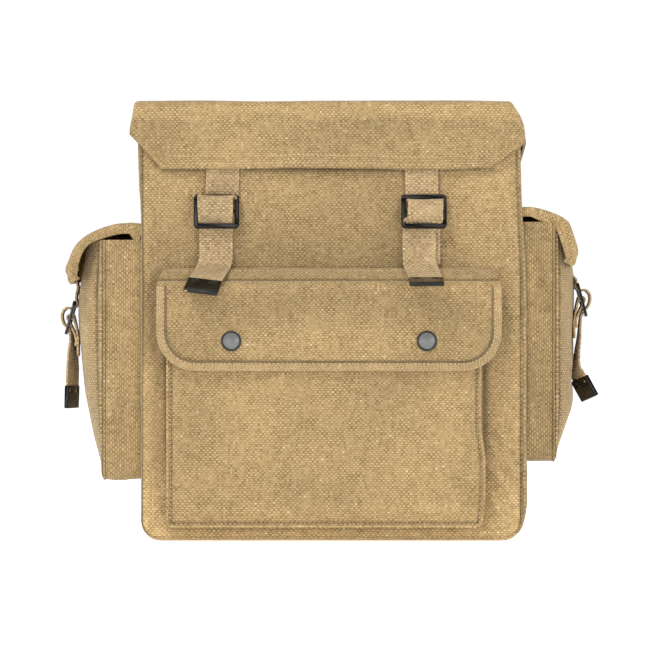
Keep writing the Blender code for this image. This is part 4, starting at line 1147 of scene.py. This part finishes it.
black = painted_metal(
    "black_enamel",
    (0.0035, 0.0033, 0.0032),
    (0.22, 0.21, 0.20),
    roughness=0.22,
    wear=0.30,
    Metallic=0.0,
    Coat_Weight=0.3,
    Specular_IOR_Level=0.15,
)
BUCKLE_WIDTH, BUCKLE_HEIGHT, BUCKLE_THICKNESS = 0.035, 0.027, 0.0022
BUCKLE_BAR = 0.0036
BUCKLE_TILT = math.radians(15)
BAR_RADIUS = 0.0013
WEBBING = 0.0015
STRAP_WIDTH = 0.0254
GAP = 0.0003
BAR_INNER = BUCKLE_HEIGHT / 2 - BUCKLE_BAR
BAR_OUT = (
    BUCKLE_HEIGHT / 2 * math.sin(BUCKLE_TILT)
    + BUCKLE_THICKNESS / 2 * math.cos(BUCKLE_TILT)
    + WEBBING
    + 2 * GAP
)
TIP_LENGTH = 0.018
TIP_THICKNESS = WEBBING + 0.0018


def soften_edges(piece, width, segments, sharpest):
    """Bevels the edges that turn by more than an angle in degrees."""
    angle = math.radians(sharpest)
    apply_modifier(
        piece, "BEVEL", width=width, segments=segments, limit_method="ANGLE", angle_limit=angle
    )


bpy.ops.object.select_all(action="DESELECT")
bpy.ops.mesh.primitive_plane_add(size=1)
pattern_buckle = bpy.context.object
pattern_buckle.scale = (BUCKLE_WIDTH, BUCKLE_HEIGHT, 1)
bpy.ops.object.transform_apply(location=True, rotation=True, scale=True)
bpy.ops.object.mode_set(mode="EDIT")
bpy.ops.mesh.select_mode(type="FACE")
bpy.ops.mesh.select_all(action="SELECT")
bpy.ops.mesh.inset(thickness=BUCKLE_BAR)
bpy.ops.mesh.delete(type="FACE")
bpy.ops.mesh.select_all(action="SELECT")
bpy.ops.mesh.extrude_region_move(TRANSFORM_OT_translate={"value": (0, 0, BUCKLE_THICKNESS)})
bpy.ops.mesh.select_all(action="SELECT")
bpy.ops.mesh.normals_make_consistent(inside=False)
select_none("EDGE")
frame_mesh = pattern_buckle.data
for outer, radius in ((True, 0.0032), (False, 0.0012)):
    for edge in frame_mesh.edges:
        first, last = (frame_mesh.vertices[i].co for i in edge.vertices)
        standing = abs(first.x - last.x) < 1e-6 and abs(first.y - last.y) < 1e-6
        on_outside = abs(first.x) > BUCKLE_WIDTH / 2 - 1e-4
        edge.select = standing and on_outside == outer
    bpy.ops.object.mode_set(mode="EDIT")
    bpy.ops.mesh.bevel(offset=radius, segments=5)
    bpy.ops.mesh.select_all(action="DESELECT")
    bpy.ops.object.mode_set(mode="OBJECT")
frame_mesh.transform(Matrix.Translation((0, 0, -BUCKLE_THICKNESS / 2)))
soften_edges(pattern_buckle, 0.0008, 3, 50)
bpy.ops.object.select_all(action="DESELECT")
bpy.ops.mesh.primitive_cylinder_add(
    vertices=20, radius=BAR_RADIUS, depth=BUCKLE_WIDTH - BUCKLE_BAR, rotation=(0, math.pi / 2, 0)
)
pattern_buckle.select_set(True)
bpy.context.view_layer.objects.active = pattern_buckle
bpy.ops.object.join()
bpy.ops.object.shade_smooth_by_angle(angle=math.radians(40))
pattern_buckle.data.transform(Matrix.Rotation(math.pi / 2, 4, "X"))

bpy.ops.object.select_all(action="DESELECT")
bpy.ops.mesh.primitive_cube_add(size=1)
pattern_tip = bpy.context.object
pattern_tip.scale = (STRAP_WIDTH + 0.0012, TIP_THICKNESS, TIP_LENGTH)
bpy.ops.object.transform_apply(location=True, rotation=True, scale=True)
apply_modifier(pattern_tip, "BEVEL", width=0.0009, segments=3)
select_none("FACE")
for polygon in pattern_tip.data.polygons:
    polygon.select = polygon.area > 0.5 * STRAP_WIDTH * TIP_LENGTH
bpy.ops.object.mode_set(mode="EDIT")
bpy.ops.mesh.subdivide(number_cuts=26)
bpy.ops.object.mode_set(mode="OBJECT")
# Two punch marks clench each face on the webbing, over a shallow fold line.
for vertex in pattern_tip.data.vertices:
    for x in (-0.0070, 0.0070):
        off = math.hypot((vertex.co.x - x) / 1.7, vertex.co.z - 0.0048) / 0.0019
        if off < 1 and abs(vertex.co.y) > TIP_THICKNESS * 0.4:
            deep = 0.0008 * math.cos(off * math.pi / 2) ** 0.7
            vertex.co.y -= math.copysign(deep, vertex.co.y)
    if abs(vertex.co.y) > TIP_THICKNESS * 0.3:
        fold = max(0.0, 1 - abs(vertex.co.z + 0.0072) / 0.0012)
        vertex.co.y -= math.copysign(0.00018 * fold, vertex.co.y)
bpy.ops.object.shade_smooth_by_angle(angle=math.radians(40))


def copy_piece(pattern, name, placing):
    """A copy of a pattern with its own mesh, put in its place."""
    made = bpy.data.objects.new(name, pattern.data.copy())
    bpy.context.collection.objects.link(made)
    made.data.transform(placing)
    return made


# ------------------------------------------------------------------ webbing
# Heavy cotton webbing, 25 mm wide, with closed edges. Each strap is laid along the line that it
# takes through its buckle. A chape, the short tab that holds the buckle, is folded round its bar.

# Its second colour is the painted shade in the weave's gaps.
webbing = woven(
    "sand_webbing_weave", (0.575, 0.424, 0.236), (0.210, 0.140, 0.066), 0.0020, 0.0018, 0.0007, 3.1
)


def unit(arrows):
    """Rows of arrows, each made one long."""
    return arrows / np.linalg.norm(arrows, axis=1)[:, None]


def directions(line):
    """The way that a line runs at each of its points."""
    return unit(np.gradient(line, axis=0))


def full_point(point):
    """A strap's point: sideways, outward, up, twist and width share. Two numbers are out and up."""
    if len(point) == 2:
        point = (0, *point, 0)
    return (*point, 1.0) if len(point) == 4 else point


def lay_webbing(name, path, width, thickness, placing, spacing=0.0011, bow=0.0003, seed=0):
    """Webbing along a line of points, as full_point takes them, in its place on the bag."""
    line, run = smooth_line([full_point(p) for p in path], spacing)
    centre = np.stack([line[:, 0], -line[:, 1], line[:, 2]], axis=1)
    way = directions(centre)
    side = np.tile([1.0, 0, 0], (len(line), 1))
    side = unit(side - way * (side * way).sum(axis=1)[:, None] * 0.6)
    normal = unit(np.cross(way, side))
    turn_cos, turn_sin = np.cos(line[:, 3:4]), np.sin(line[:, 3:4])
    side, normal = side * turn_cos + normal * turn_sin, normal * turn_cos - side * turn_sin

    def lay(u, v):
        place = v * (len(line) - 1)
        index = np.clip(np.round(place).astype(int), 0, len(line) - 1)
        across = (u - 0.5) * width * line[index, 4]
        rough = 0.00012 * uneven(run[index], across, 0.004, 0.008, 80 + seed)
        lift = bow * (1 - (2 * u - 1) ** 2) + rough
        spot = centre[index] + side[index] * across[:, None] - normal[index] * lift[:, None]
        edge = np.minimum(u, 1 - u) * width
        tone = 0.5 * within(edge, 0.0016) + 0.3 * uneven(run[index], across, 0.02, 0.02, 90 + seed)
        return spot[:, 0], spot[:, 1], spot[:, 2], u * width + seed * 0.1, run[index], tone

    made = cut_cloth(name, 14, len(line) - 1, lay)
    give_thickness(made, thickness, 0)
    soften_edges(made, 0.0004, 2, 60)
    bpy.ops.object.shade_smooth_by_angle(angle=math.radians(65))
    made.data.transform(placing)
    return made


def tangent_angle(point, centre, radius, turn):
    """Where a line from a point touches a circle, as an angle round the circle's centre."""
    away = Vector(point) - Vector(centre)
    return math.atan2(away.y, away.x) + turn * math.acos(radius / away.length)


def arc_points(centre, radius, start, end, steps=8):
    """Even points along an arc."""
    angles = np.linspace(start, end, steps + 1)
    return [(centre[0] + radius * math.cos(a), centre[1] + radius * math.sin(a)) for a in angles]


def chape_line(length, fold_back=0.022):
    """Sewn flat, up round the bar and back down over itself."""
    wrap_radius = BAR_RADIUS + 0.0004 + WEBBING / 2
    under = GAP + WEBBING / 2
    over = under + WEBBING + GAP
    meet = -(BAR_INNER + 2 * WEBBING)
    start = tangent_angle((under, meet), (BAR_OUT, 0), wrap_radius, -1) % (2 * math.pi)
    end = tangent_angle((over, meet), (BAR_OUT, 0), wrap_radius, 1)
    wrap = arc_points((BAR_OUT, 0), wrap_radius, start, end)
    end_height = -max(fold_back, -meet + WEBBING)
    return [
        (under, -length),
        (under, (meet - length) / 2),
        (under, meet - 0.002),
        *wrap,
        (over, meet - 0.002),
        (over, end_height),
    ]


def fit_closure(name, turn, pieces, chape_length, line):
    """Chape, buckle, strap and tip at a buckle, which the strap's line goes through."""
    low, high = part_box(f"{name}_buckle")
    outwards = Matrix.Rotation(turn, 3, "Z") @ Vector((0, -1, 0))
    place = (low + high) / 2 - outwards * BAR_OUT
    placing = Matrix.Translation(place) @ Matrix.Rotation(turn, 4, "Z")
    tilt = Matrix.Translation((0, -BAR_OUT, 0)) @ Matrix.Rotation(-BUCKLE_TILT, 4, "X")
    buckle = copy_piece(pattern_buckle, f"{name}_buckle_frame", placing @ tilt)
    dress(buckle, black, f"{name}_buckle", "black_metal", f"{name}_buckle")
    seed = len(name)
    webbing_size = (STRAP_WIDTH, WEBBING, placing)
    folded = chape_line(chape_length)
    chape = lay_webbing(f"{name}_chape_webbing", folded, *webbing_size, seed=seed)
    dress(chape, webbing, "bag", "sand_webbing", f"{name}_chape")
    strap = lay_webbing(f"{name}_strap_webbing", line, *webbing_size, seed=seed + 3)
    before, nose = (full_point(p) for p in line[-2:])
    twist = nose[3]
    before, nose = (Vector((p[0], -p[1], p[2])) for p in (before, nose))
    along = (nose - before).normalized()
    side = Matrix.Rotation(twist, 3, along) @ Vector((1, 0, 0))
    normal = along.cross(side).normalized()
    side = normal.cross(along)
    middle = nose + along * (0.0009 - TIP_LENGTH / 2)
    turned = Matrix((side, normal, -along)).transposed().to_4x4()
    tip = copy_piece(pattern_tip, f"{name}_tip", placing @ Matrix.Translation(middle) @ turned)
    dress(tip, black, pieces["tip"], "black_metal", f"{name}_strap_tip")
    dress(strap, webbing, pieces.get("strap"), "sand_webbing", f"{name}_strap")
    if "bend" in pieces:
        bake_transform(strap)
    return strap


lid_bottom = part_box("main_flap")[0].z
FRONT_BAR = 0.2535
fold_up = FLAP_FOLD + 0.0009 - FRONT_BAR
fold_out = FLAP_FACE - FRONT_FACE
sewn_up = lid_bottom + 0.020 - FRONT_BAR


def front_line(top, bulge, sway, end, pitch, fat, lean):
    """A front strap's line.

    top, bulge, sway and end are how far to the side it is above the bar, over it, below it and at
    its end. fat swells the roll over the bar, and pitch and lean turn the end down and sideways.
    """
    flat = 2 * GAP + WEBBING / 2
    above = [(top, flat, sewn_up, 0), (top, flat, 0.0270, 0), (top * 0.9, flat, 0.0170, 0)]
    over_bar = [
        (top * 0.8, 0.0013, 0.0100, 0, 1.0),
        (top * 0.5 + bulge * 0.5, 0.0040 + fat * 0.4, 0.0085 + fat * 0.55, 0, 1.04),
        (bulge, 0.0092 + fat * 0.7, 0.0082 + fat * 0.6, 0, 1.07),
        (bulge, 0.0124 + fat * 0.5, 0.0040, 0, 1.07),
        (bulge, 0.0132 + fat * 0.3, -0.0010, 0, 1.05), (bulge, 0.0112, -0.0062, 0, 1.03),
        (sway, 0.0074, -0.0092, 0, 1.0), (sway, 0.0050, -0.0130, 0, 1.0),
    ]
    slope = math.radians(pitch)
    last = (end, fold_out + 0.0020, fold_up + 0.0022)
    way = (lean, math.cos(slope), -math.sin(slope))
    below = [
        (sway, 0.0046, -0.0180, 0),
        (sway, 0.0044, fold_up + 0.0215, 0),
        (sway * 0.9 + end * 0.1, 0.0052, fold_up + 0.0140, 0),
        (sway + (end - sway) * 0.45, fold_out * 0.45, fold_up + 0.0088, 0),
        (sway + (end - sway) * 0.78, fold_out * 0.84, fold_up + 0.0046, 0),
    ]
    for distance in (0, 0.006, 0.0203):
        below.append((*(a + b * distance for a, b in zip(last, way)), 0))
    return above + over_bar + below


for side, shape in (
    ("left", (0.0046, -0.0008, -0.0005, -0.0072, 32, 0.0050, -0.22)),
    ("right", (-0.0016, 0.0012, -0.0036, 0.0012, 14, 0.0008, 0.02)),
):
    strap_end = f"front_{side}_strap_end"
    pieces = {"tip": strap_end, "bend": ("main_flap", strap_end)}
    fit_closure(f"front_{side}", 0, pieces, 0.040, front_line(*shape))

# ------------------------------------------------------------------ side pockets
# One on each side: a strip round the front, bottom and back, closed by a panel that domes
# outwards. The panel and the strip meet in a standing seam, a little proud of both.

SIDE_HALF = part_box("side_pocket_left_gusset")[1].y
SIDE_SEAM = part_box("side_pocket_right_gusset")[1].x + 0.0019
SIDE_BULGE = {-1: 0.0205, 1: 0.0160}
SIDE_FILL = {-1: 0.115, 1: 0.052}
SIDE_CORNER = 0.012
GUSSET_IN = {-1: 0.1440, 1: 0.1470}


def dome(share, from_bottom, from_top, sign):
    """How far the panel stands out past its seam. share runs from -1 to 1 across it."""
    fill = np.sin(np.clip(from_bottom / SIDE_FILL[sign], 0, 1) * math.pi / 2)
    mouth = 0.62 + 0.38 * np.sin(np.clip(from_top / 0.050, 0, 1) * math.pi / 2)
    return SIDE_BULGE[sign] * fill * mouth * (1 - np.abs(share) ** 3.2) ** 0.85


for side, sign in (("left", -1), ("right", 1)):
    low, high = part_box(f"side_pocket_{side}_gusset")
    bottom, top = low.z, high.z

    def lay_dome(u, v):
        rise = v * (top - bottom)
        share = -np.cos(u * math.pi)
        pull = corner_inset(rise, SIDE_CORNER)
        y = share * (SIDE_HALF - pull)
        edge = np.minimum(SIDE_HALF - pull - np.abs(y), rise)
        out = dome(share, rise, top - bottom - rise, sign)
        seam = 0.0011 * bell(edge - 0.0008, 0.0010)
        seam = seam - 0.0011 * bell(edge - 0.0034, 0.0013)
        soft = 0.0013 * uneven(y, rise, 0.035, 0.045, 101 + sign)
        soft = soft - 0.0016 * (1 - folds(y, rise, 0.028, 35 * sign, 103 + sign))
        soft = soft * ease(edge / 0.012) * ease((top - bottom - rise) / 0.04 + 0.3)
        x = SIDE_SEAM + out + seam + soft
        # Painted highlight on the standing seam and where the dome stands out most; painted shade
        # in the stitched groove beside the seam.
        tone = 0.5 * within(edge, 0.002) - 0.9 * bell(edge - 0.0036, 0.0012)
        tone += 0.35 * uneven(y, rise, 0.05, 0.05, 105) + 0.5 * ease(out / 0.012)
        return sign * x, sign * y, bottom + rise, y + 0.6, rise, tone

    def strip_swell(run, share):
        soft = 0.0008 * uneven(run, share * 0.025, 0.03, 0.02, 107 + sign)
        soft = soft - 0.0006 * (1 - folds(run, share * 0.025, 0.016, 75, 109))
        ridge = 0.0009 * bell(1 - share, 0.05)
        stand = (0.0010 + soft) * hump(share) + ridge
        # Painted shade: the strip is darker overall, and darkest where it meets the bag and in the
        # groove by the seam.
        tone = -1.1 * within(share, 0.04) - 0.9 * bell(share - 0.93, 0.02)
        return stand, tone + 0.3 * uneven(run, share, 0.04, 0.3, 111) - 0.2

    panel = cut_cloth(f"side_pocket_{side}_dome", 72, 110, lay_dome)
    finish_canvas(panel, "bag", f"side_pocket_{side}_panel")
    strip = band_along(
        f"side_pocket_{side}_strip",
        u_rail(-SIDE_HALF, SIDE_HALF, bottom, top, SIDE_CORNER),
        GUSSET_IN[sign],
        SIDE_SEAM,
        strip_swell,
        lambda across, depth, up: (sign * depth, sign * across, up),
        260,
        30,
    )
    finish_canvas(strip, "bag", f"side_pocket_{side}_gusset")

# ------------------------------------------------------------------ side pockets' flaps
# A canvas flap is sewn to the bag over each pocket's mouth, arches over it and curls in at its free
# edge. Its front and back edges are turned down as narrow lips that wave over the pocket.

FLAP_LINES = {  # out from the bag, and height over the pocket's mouth
    -1: [
        (-0.0048, 0.0122), (0.0010, 0.0136), (0.0070, 0.0139), (0.0190, 0.0124),
        (0.0300, 0.0092), (0.0385, 0.0052), (0.0450, 0.0000), (0.0492, -0.0058),
        (0.0520, -0.0120), (0.0546, -0.0190), (0.0550, -0.0245), (0.0532, -0.0300),
        (0.0512, -0.0336),
    ],
    1: [
        (-0.0040, 0.0110), (0.0010, 0.0114), (0.0080, 0.0114), (0.0160, 0.0100),
        (0.0242, 0.0076), (0.0330, 0.0036), (0.0388, -0.0030), (0.0420, -0.0110),
        (0.0448, -0.0200), (0.0450, -0.0256), (0.0426, -0.0318), (0.0404, -0.0352),
    ],
}
LIP_PLACES = (0, 0.012, 0.030)
LIP = {-1: (0.0114, 0.0054, 0.0048), 1: (0.0050, 0.0044, 0.0068)}
LIP_BEND = 0.0034
BODY_SIDE = {-1: abs(LEFT_SEAM) + 0.0044, 1: 0.1480}

for side, sign in (("left", -1), ("right", 1)):
    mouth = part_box(f"side_pocket_{side}_panel")[1].z
    arch, arch_run = smooth_line(FLAP_LINES[sign], 0.0011)
    way = directions(arch)
    half = -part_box(f"side_flap_{side}")[0].y

    def lay_side_flap(u, v):
        run = u * arch_run[-1]
        index = np.clip(np.round(u * (len(arch) - 1)).astype(int), 0, len(arch) - 1)
        out, up = arch[index, 0], arch[index, 1]
        in_out, in_up = way[index, 1], -way[index, 0]
        cross = 2 * v - 1
        lip = np.interp(run, LIP_PLACES, LIP[sign])
        back_lip = np.maximum(lip, 0.0165 * ease((0.07 - run) / 0.02))
        lip = np.where(sign * cross > 0, back_lip, lip)
        lip = lip * (1 + 0.30 * uneven(run, cross, 0.016, 4.0, 121 + sign))
        lip = lip * (1 - 0.35 * ease((run - arch_run[-1] + 0.012) / 0.012))
        flat = half - LIP_BEND
        length = flat + LIP_BEND * math.pi / 2 + lip
        from_middle = np.abs(cross) * length
        place, sunk = bend_over(from_middle, flat, LIP_BEND)
        past = np.maximum(0, from_middle - flat - LIP_BEND * math.pi / 2)
        sunk += past * 0.96
        place = place - 0.0016 * ease(past / 0.004)
        place += 0.0012 * uneven(run, cross * 0, 0.012, 1.0, 123)
        soft = 0.0010 * uneven(run, cross * 0.05, 0.022, 0.03, 125 + sign)
        soft += 0.0012 * folds(run, cross * 0.05, 0.016, 66, 127) - 0.0006
        soft = soft * ease(run / 0.012)
        depth = sunk - soft - 0.0010 * hump((arch_run[-1] - run) / 0.007)
        x = BODY_SIDE[sign] + out + in_out * depth
        z = mouth + up + in_up * depth
        edge = np.minimum(length - from_middle, arch_run[-1] - run)
        # Painted highlight along the lips' bend; painted shade along the free edges.
        tone = 0.5 * within(np.abs(from_middle - flat - 0.002), 0.003)
        tone = tone - 0.5 * within(edge, 0.0014) + 0.3 * uneven(run, cross, 0.03, 0.4, 129)
        y = sign * cross / np.maximum(np.abs(cross), 1e-6) * place
        return sign * x, y, z, cross * 0.06, run, tone

    body = f"side_flap_{side}"
    flap = cut_cloth(f"{body}_cloth", len(arch) - 1, 96, lay_side_flap)
    finish_canvas(flap, body, body)
    hem_out, hem_up = arch[-8]
    hem_row = [
        (sign * (BODY_SIDE[sign] + hem_out), sign * y, mouth + hem_up)
        for y in np.linspace(-half + 0.004, half - 0.004, 20)
    ]
    sew(f"{body}_stitches", [flap], [hem_row], (-sign * 0.94, 0, -0.34), thread, body)

# The side straps: their ends hang free under the buckles and turn to show their faces.
SIDE_TAILS = {
    -1: [
        (0, 0.0062, -0.0160, 0.06), (0, 0.0056, -0.0220, 0.16), (0, 0.0055, -0.0300, 0.26),
        (0, 0.0056, -0.0400, 0.31), (0, 0.0058, -0.0500, 0.32), (0, 0.0060, -0.0560, 0.31),
        (0, 0.0064, -0.0700, 0.30),
    ],
    1: [
        (0, 0.0060, -0.0160, 0.0), (0, 0.0052, -0.0280, -0.04), (0, 0.0036, -0.0420, -0.10),
        (0, 0.0026, -0.0520, -0.22), (0, 0.0040, -0.0580, -0.36), (0, 0.0100, -0.0700, -0.45),
        (0, 0.0135, -0.0764, -0.45),
    ],
}
for side, sign in (("left", -1), ("right", 1)):
    name = f"side_{side}"
    bar = (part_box(f"{name}_buckle")[0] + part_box(f"{name}_buckle")[1]) / 2
    place_x = abs(bar.x) - BAR_OUT
    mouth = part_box(f"side_pocket_{side}_panel")[1].z - bar.z
    hem_out = BODY_SIDE[sign] + FLAP_LINES[sign][-1][0] - place_x - 0.0026
    hem_up = mouth + FLAP_LINES[sign][-1][1]
    line = [
        (hem_out + 0.0012, hem_up + 0.0120), (hem_out + 0.0006, hem_up + 0.0040),
        (hem_out * 0.75, hem_up - 0.0030), (0.0026, 0.0155), (0.0016, 0.0104), (0.0050, 0.0074),
        (0.0094, 0.0078), (0.0128, 0.0048), (0.0136, 0.0), (0.0116, -0.0056), (0.0076, -0.0092),
        *SIDE_TAILS[sign],
    ]
    pieces = {"tip": f"{name}_strap_end", "bend": (f"side_flap_{side}", f"{name}_strap_end")}
    fit_closure(name, sign * math.pi / 2, pieces, 0.030, line)

# ------------------------------------------------------------------ back
# A doubled canvas patch spreads the load of two webbing straps that go round a saddle's loops or
# rails. Their ends tuck under webbing keepers, and a loop lower down goes round the seat post.

PATCH_LOW, PATCH_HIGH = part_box("saddle_strap_patch")
BACK_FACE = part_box("back_panel")[1].y
PATCH_CORNER = 0.008
SADDLE_BAR = 0.232


def lay_patch(u, v):
    z = PATCH_LOW.z + v * (PATCH_HIGH.z - PATCH_LOW.z)
    rise, fall = z - PATCH_LOW.z, PATCH_HIGH.z - z
    pull = np.maximum(corner_inset(rise, PATCH_CORNER), corner_inset(fall, PATCH_CORNER))
    x = -(PATCH_LOW.x + pull + u * (PATCH_HIGH.x - PATCH_LOW.x - 2 * pull))
    edge = np.minimum(PATCH_HIGH.x - pull - np.abs(x), np.minimum(rise, fall))
    sewn = 0.0005 * bell(edge - 0.004, 0.0012)
    soft = 0.0004 * uneven(x, z, 0.03, 0.03, 141) * ease(edge / 0.008)
    y = PATCH_HIGH.y + 0.0001 - sewn + soft - 0.0007 * within(edge, 0.0010)
    # Painted shade in the stitched groove; paler at the edge.
    tone = 0.5 * within(edge, 0.0018) - 0.5 * sewn / 0.0005 + 0.3 * uneven(x, z, 0.05, 0.03, 143)
    return x, y, z, x + 0.8, z, tone


def box_rows(left, right, low, high):
    """Four rows of stitches round a rectangle on the back."""
    high_left, high_right = (left, BACK_FACE, high), (right, BACK_FACE, high)
    low_left, low_right = (left, BACK_FACE, low), (right, BACK_FACE, low)
    return [
        [high_left, high_right],
        [high_right, low_right],
        [low_right, low_left],
        [low_left, high_left],
    ]


patch = cut_cloth("saddle_patch", 160, 50, lay_patch)
finish_canvas(patch, "bag", "saddle_strap_patch")
row_half = PATCH_HIGH.x - 0.0042
patch_rows = box_rows(-row_half, row_half, PATCH_LOW.z + 0.0042, PATCH_HIGH.z - 0.0042)
sew("saddle_patch_stitches", [patch], patch_rows, (0, -1, 0), thread, "bag")

over_patch = 2 * GAP + CANVAS + WEBBING / 2
loop_crown = over_patch + WEBBING / 2 + 0.0115
saddle_sewn = PATCH_HIGH.z - 0.004 - SADDLE_BAR
patch_foot = PATCH_LOW.z - SADDLE_BAR
tail_out = 2 * GAP + 1.5 * WEBBING + 0.0009
saddle_line = [
    (over_patch, saddle_sewn), (over_patch, saddle_sewn - 0.013),
    (over_patch + 0.0050, saddle_sewn - 0.0185), (loop_crown - 0.0010, saddle_sewn - 0.0240),
    (loop_crown + 0.0003, (saddle_sewn - 0.020 + patch_foot) / 2),
    (loop_crown - 0.0016, patch_foot + 0.0040), (0.0060, 0.0240), (0.0022, 0.0180),
    (0.0014, 0.0104), (0.0050, 0.0078), (0.0096, 0.0072), (0.0128, 0.0034), (0.0130, -0.0016),
    (0.0108, -0.0064), (0.0070, -0.0096), (0.0048, -0.0160), (tail_out + 0.0006, -0.0240),
    (tail_out, -0.0340), (tail_out, -0.0520), (tail_out, -0.0722),
]


def arched(*half):
    """A keeper's or loop's line: half of its (outward, up) points, and the same upside down."""
    return [*half, *((out, -up) for out, up in half[::-1])]


for side in ("left", "right"):
    name = f"saddle_{side}"
    strap = fit_closure(name, math.pi, {"tip": "bag", "strap": "bag"}, 0.040, saddle_line)
    low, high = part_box(f"{name}_keeper")
    middle, wide = (low + high) / 2, (high.x - low.x) / 2
    keeper_out = high.y - BACK_FACE - 0.0010
    keeper_half = [
        (0.0011, wide), (0.0011, wide - 0.0060), (0.0016, wide - 0.0080),
        (keeper_out, wide - 0.0096),
    ]
    keeper_line = arched(*keeper_half)
    keeper_line.insert(len(keeper_half), (keeper_out + 0.0002, 0.0))
    placing = (
        Matrix.Translation((middle.x, BACK_FACE, middle.z))
        @ Matrix.Rotation(math.pi, 4, "Z")
        @ Matrix.Rotation(math.pi / 2, 4, "Y")
    )
    tall = high.z - low.z
    keeper = lay_webbing(f"{name}_keeper_webbing", keeper_line, tall, WEBBING, placing, 0.0008)
    dress(keeper, webbing, "bag", "sand_webbing", f"{name}_keeper")
    ends = [
        [(middle.x + offset, BACK_FACE, z) for z in (low.z + 0.002, high.z - 0.002)]
        for offset in (wide - 0.003, 0.003 - wide)
    ]
    sew(f"{name}_keeper_stitches", [keeper], ends, (0, -1, 0), thread, "bag", "sand_webbing")
    row_half, sewn_at = STRAP_WIDTH / 2 - 0.003, SADDLE_BAR + saddle_sewn
    rows = box_rows(middle.x - row_half, middle.x + row_half, sewn_at - 0.0125, sewn_at - 0.0025)
    rows += [[rows[0][0], rows[2][0]], [rows[1][0], rows[3][0]]]
    sew(f"{name}_strap_stitches", [strap], rows, (0, -1, 0), thread, "bag", "sand_webbing")

low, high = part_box("seat_post_loop")
middle, tall = (low + high) / 2, (high.z - low.z) / 2
loop_out = high.y - BACK_FACE - WEBBING / 2 - 0.0003
loop_line = arched(
    (0.0011, tall), (0.0011, tall - 0.0110), (0.0028, tall - 0.0140),
    (loop_out * 0.72, tall - 0.0210), (loop_out, tall - 0.0280),
)
placing = Matrix.Translation((middle.x, BACK_FACE, middle.z)) @ Matrix.Rotation(math.pi, 4, "Z")
post_loop = lay_webbing("seat_post_loop_webbing", loop_line, high.x - low.x, WEBBING, placing)
dress(post_loop, webbing, "bag", "sand_webbing", "seat_post_loop")
rows = [
    [(low.x + 0.003, BACK_FACE, z), (high.x - 0.003, BACK_FACE, z)]
    for z in (high.z - 0.0025, high.z - 0.0085, low.z + 0.0025, low.z + 0.0085)
]
sew("seat_post_loop_stitches", [post_loop], rows, (0, -1, 0), thread, "bag", "sand_webbing")
for pattern in (pattern_buckle, pattern_tip):
    bpy.data.objects.remove(pattern)

# ------------------------------------------------------------------ studio
# A pale floor that runs to the horizon in a bright, even room. A broad light stands up to the left,
# with softer ones low on both sides and over the top.

bpy.ops.object.select_all(action="DESELECT")
bpy.ops.mesh.primitive_plane_add(size=30, location=(0, 0, -0.0006))
floor = bpy.context.object
floor.name = "studio_floor"
floor_paint, _, _ = new_material(
    "floor_paint",
    Base_Color=(0.93, 0.93, 0.93, 1.0),
    Roughness=1.0,
    Specular_IOR_Level=0.0,
    Emission_Color=(1, 1, 1, 1),
    Emission_Strength=0.7,
)
floor.data.materials.append(floor_paint)
floor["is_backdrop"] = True

room = bpy.data.worlds.new("white_room")
bpy.context.scene.world = room
room.use_nodes = True
walls = room.node_tree.nodes["Background"]
walls.inputs["Color"].default_value = (1.0, 1.0, 1.0, 1.0)
seen = room.node_tree.nodes.new("ShaderNodeLightPath")
maths = partial(calculate, room.node_tree)
brightness = maths("MULTIPLY_ADD", seen.outputs["Is Camera Ray"], 0.50, 0.52)
shine = maths("MULTIPLY", seen.outputs["Is Glossy Ray"], 0.36)
brightness = maths("SUBTRACT", brightness, shine)
room.node_tree.links.new(brightness, walls.inputs["Strength"])
for light_name, place, aim, size, power in (
    ("key_panel", (-1.0, -1.9, 2.7), (0, 0, 0.17), 1.1, 50.0),
    ("right_panel", (1.7, -3.0, 0.40), (0, 0, 0.05), 1.2, 37.0),
    ("left_panel", (-1.0, -3.2, 0.15), (0, 0, 0), 1.0, 30.0),
    ("top_panel", (0.0, 0.3, 2.6), (0, 0, 0), 1.6, 18.0),
):
    lamp = bpy.data.lights.new(light_name, "AREA")
    lamp.shape = "SQUARE"
    lamp.size = size
    lamp.energy = power
    holder = bpy.data.objects.new(light_name, lamp)
    holder.location = place
    facing = Vector(aim) - Vector(place)
    holder.rotation_euler = facing.to_track_quat("-Z", "Y").to_euler()
    bpy.context.collection.objects.link(holder)

# ------------------------------------------------------------------ size, and the end

low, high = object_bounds()
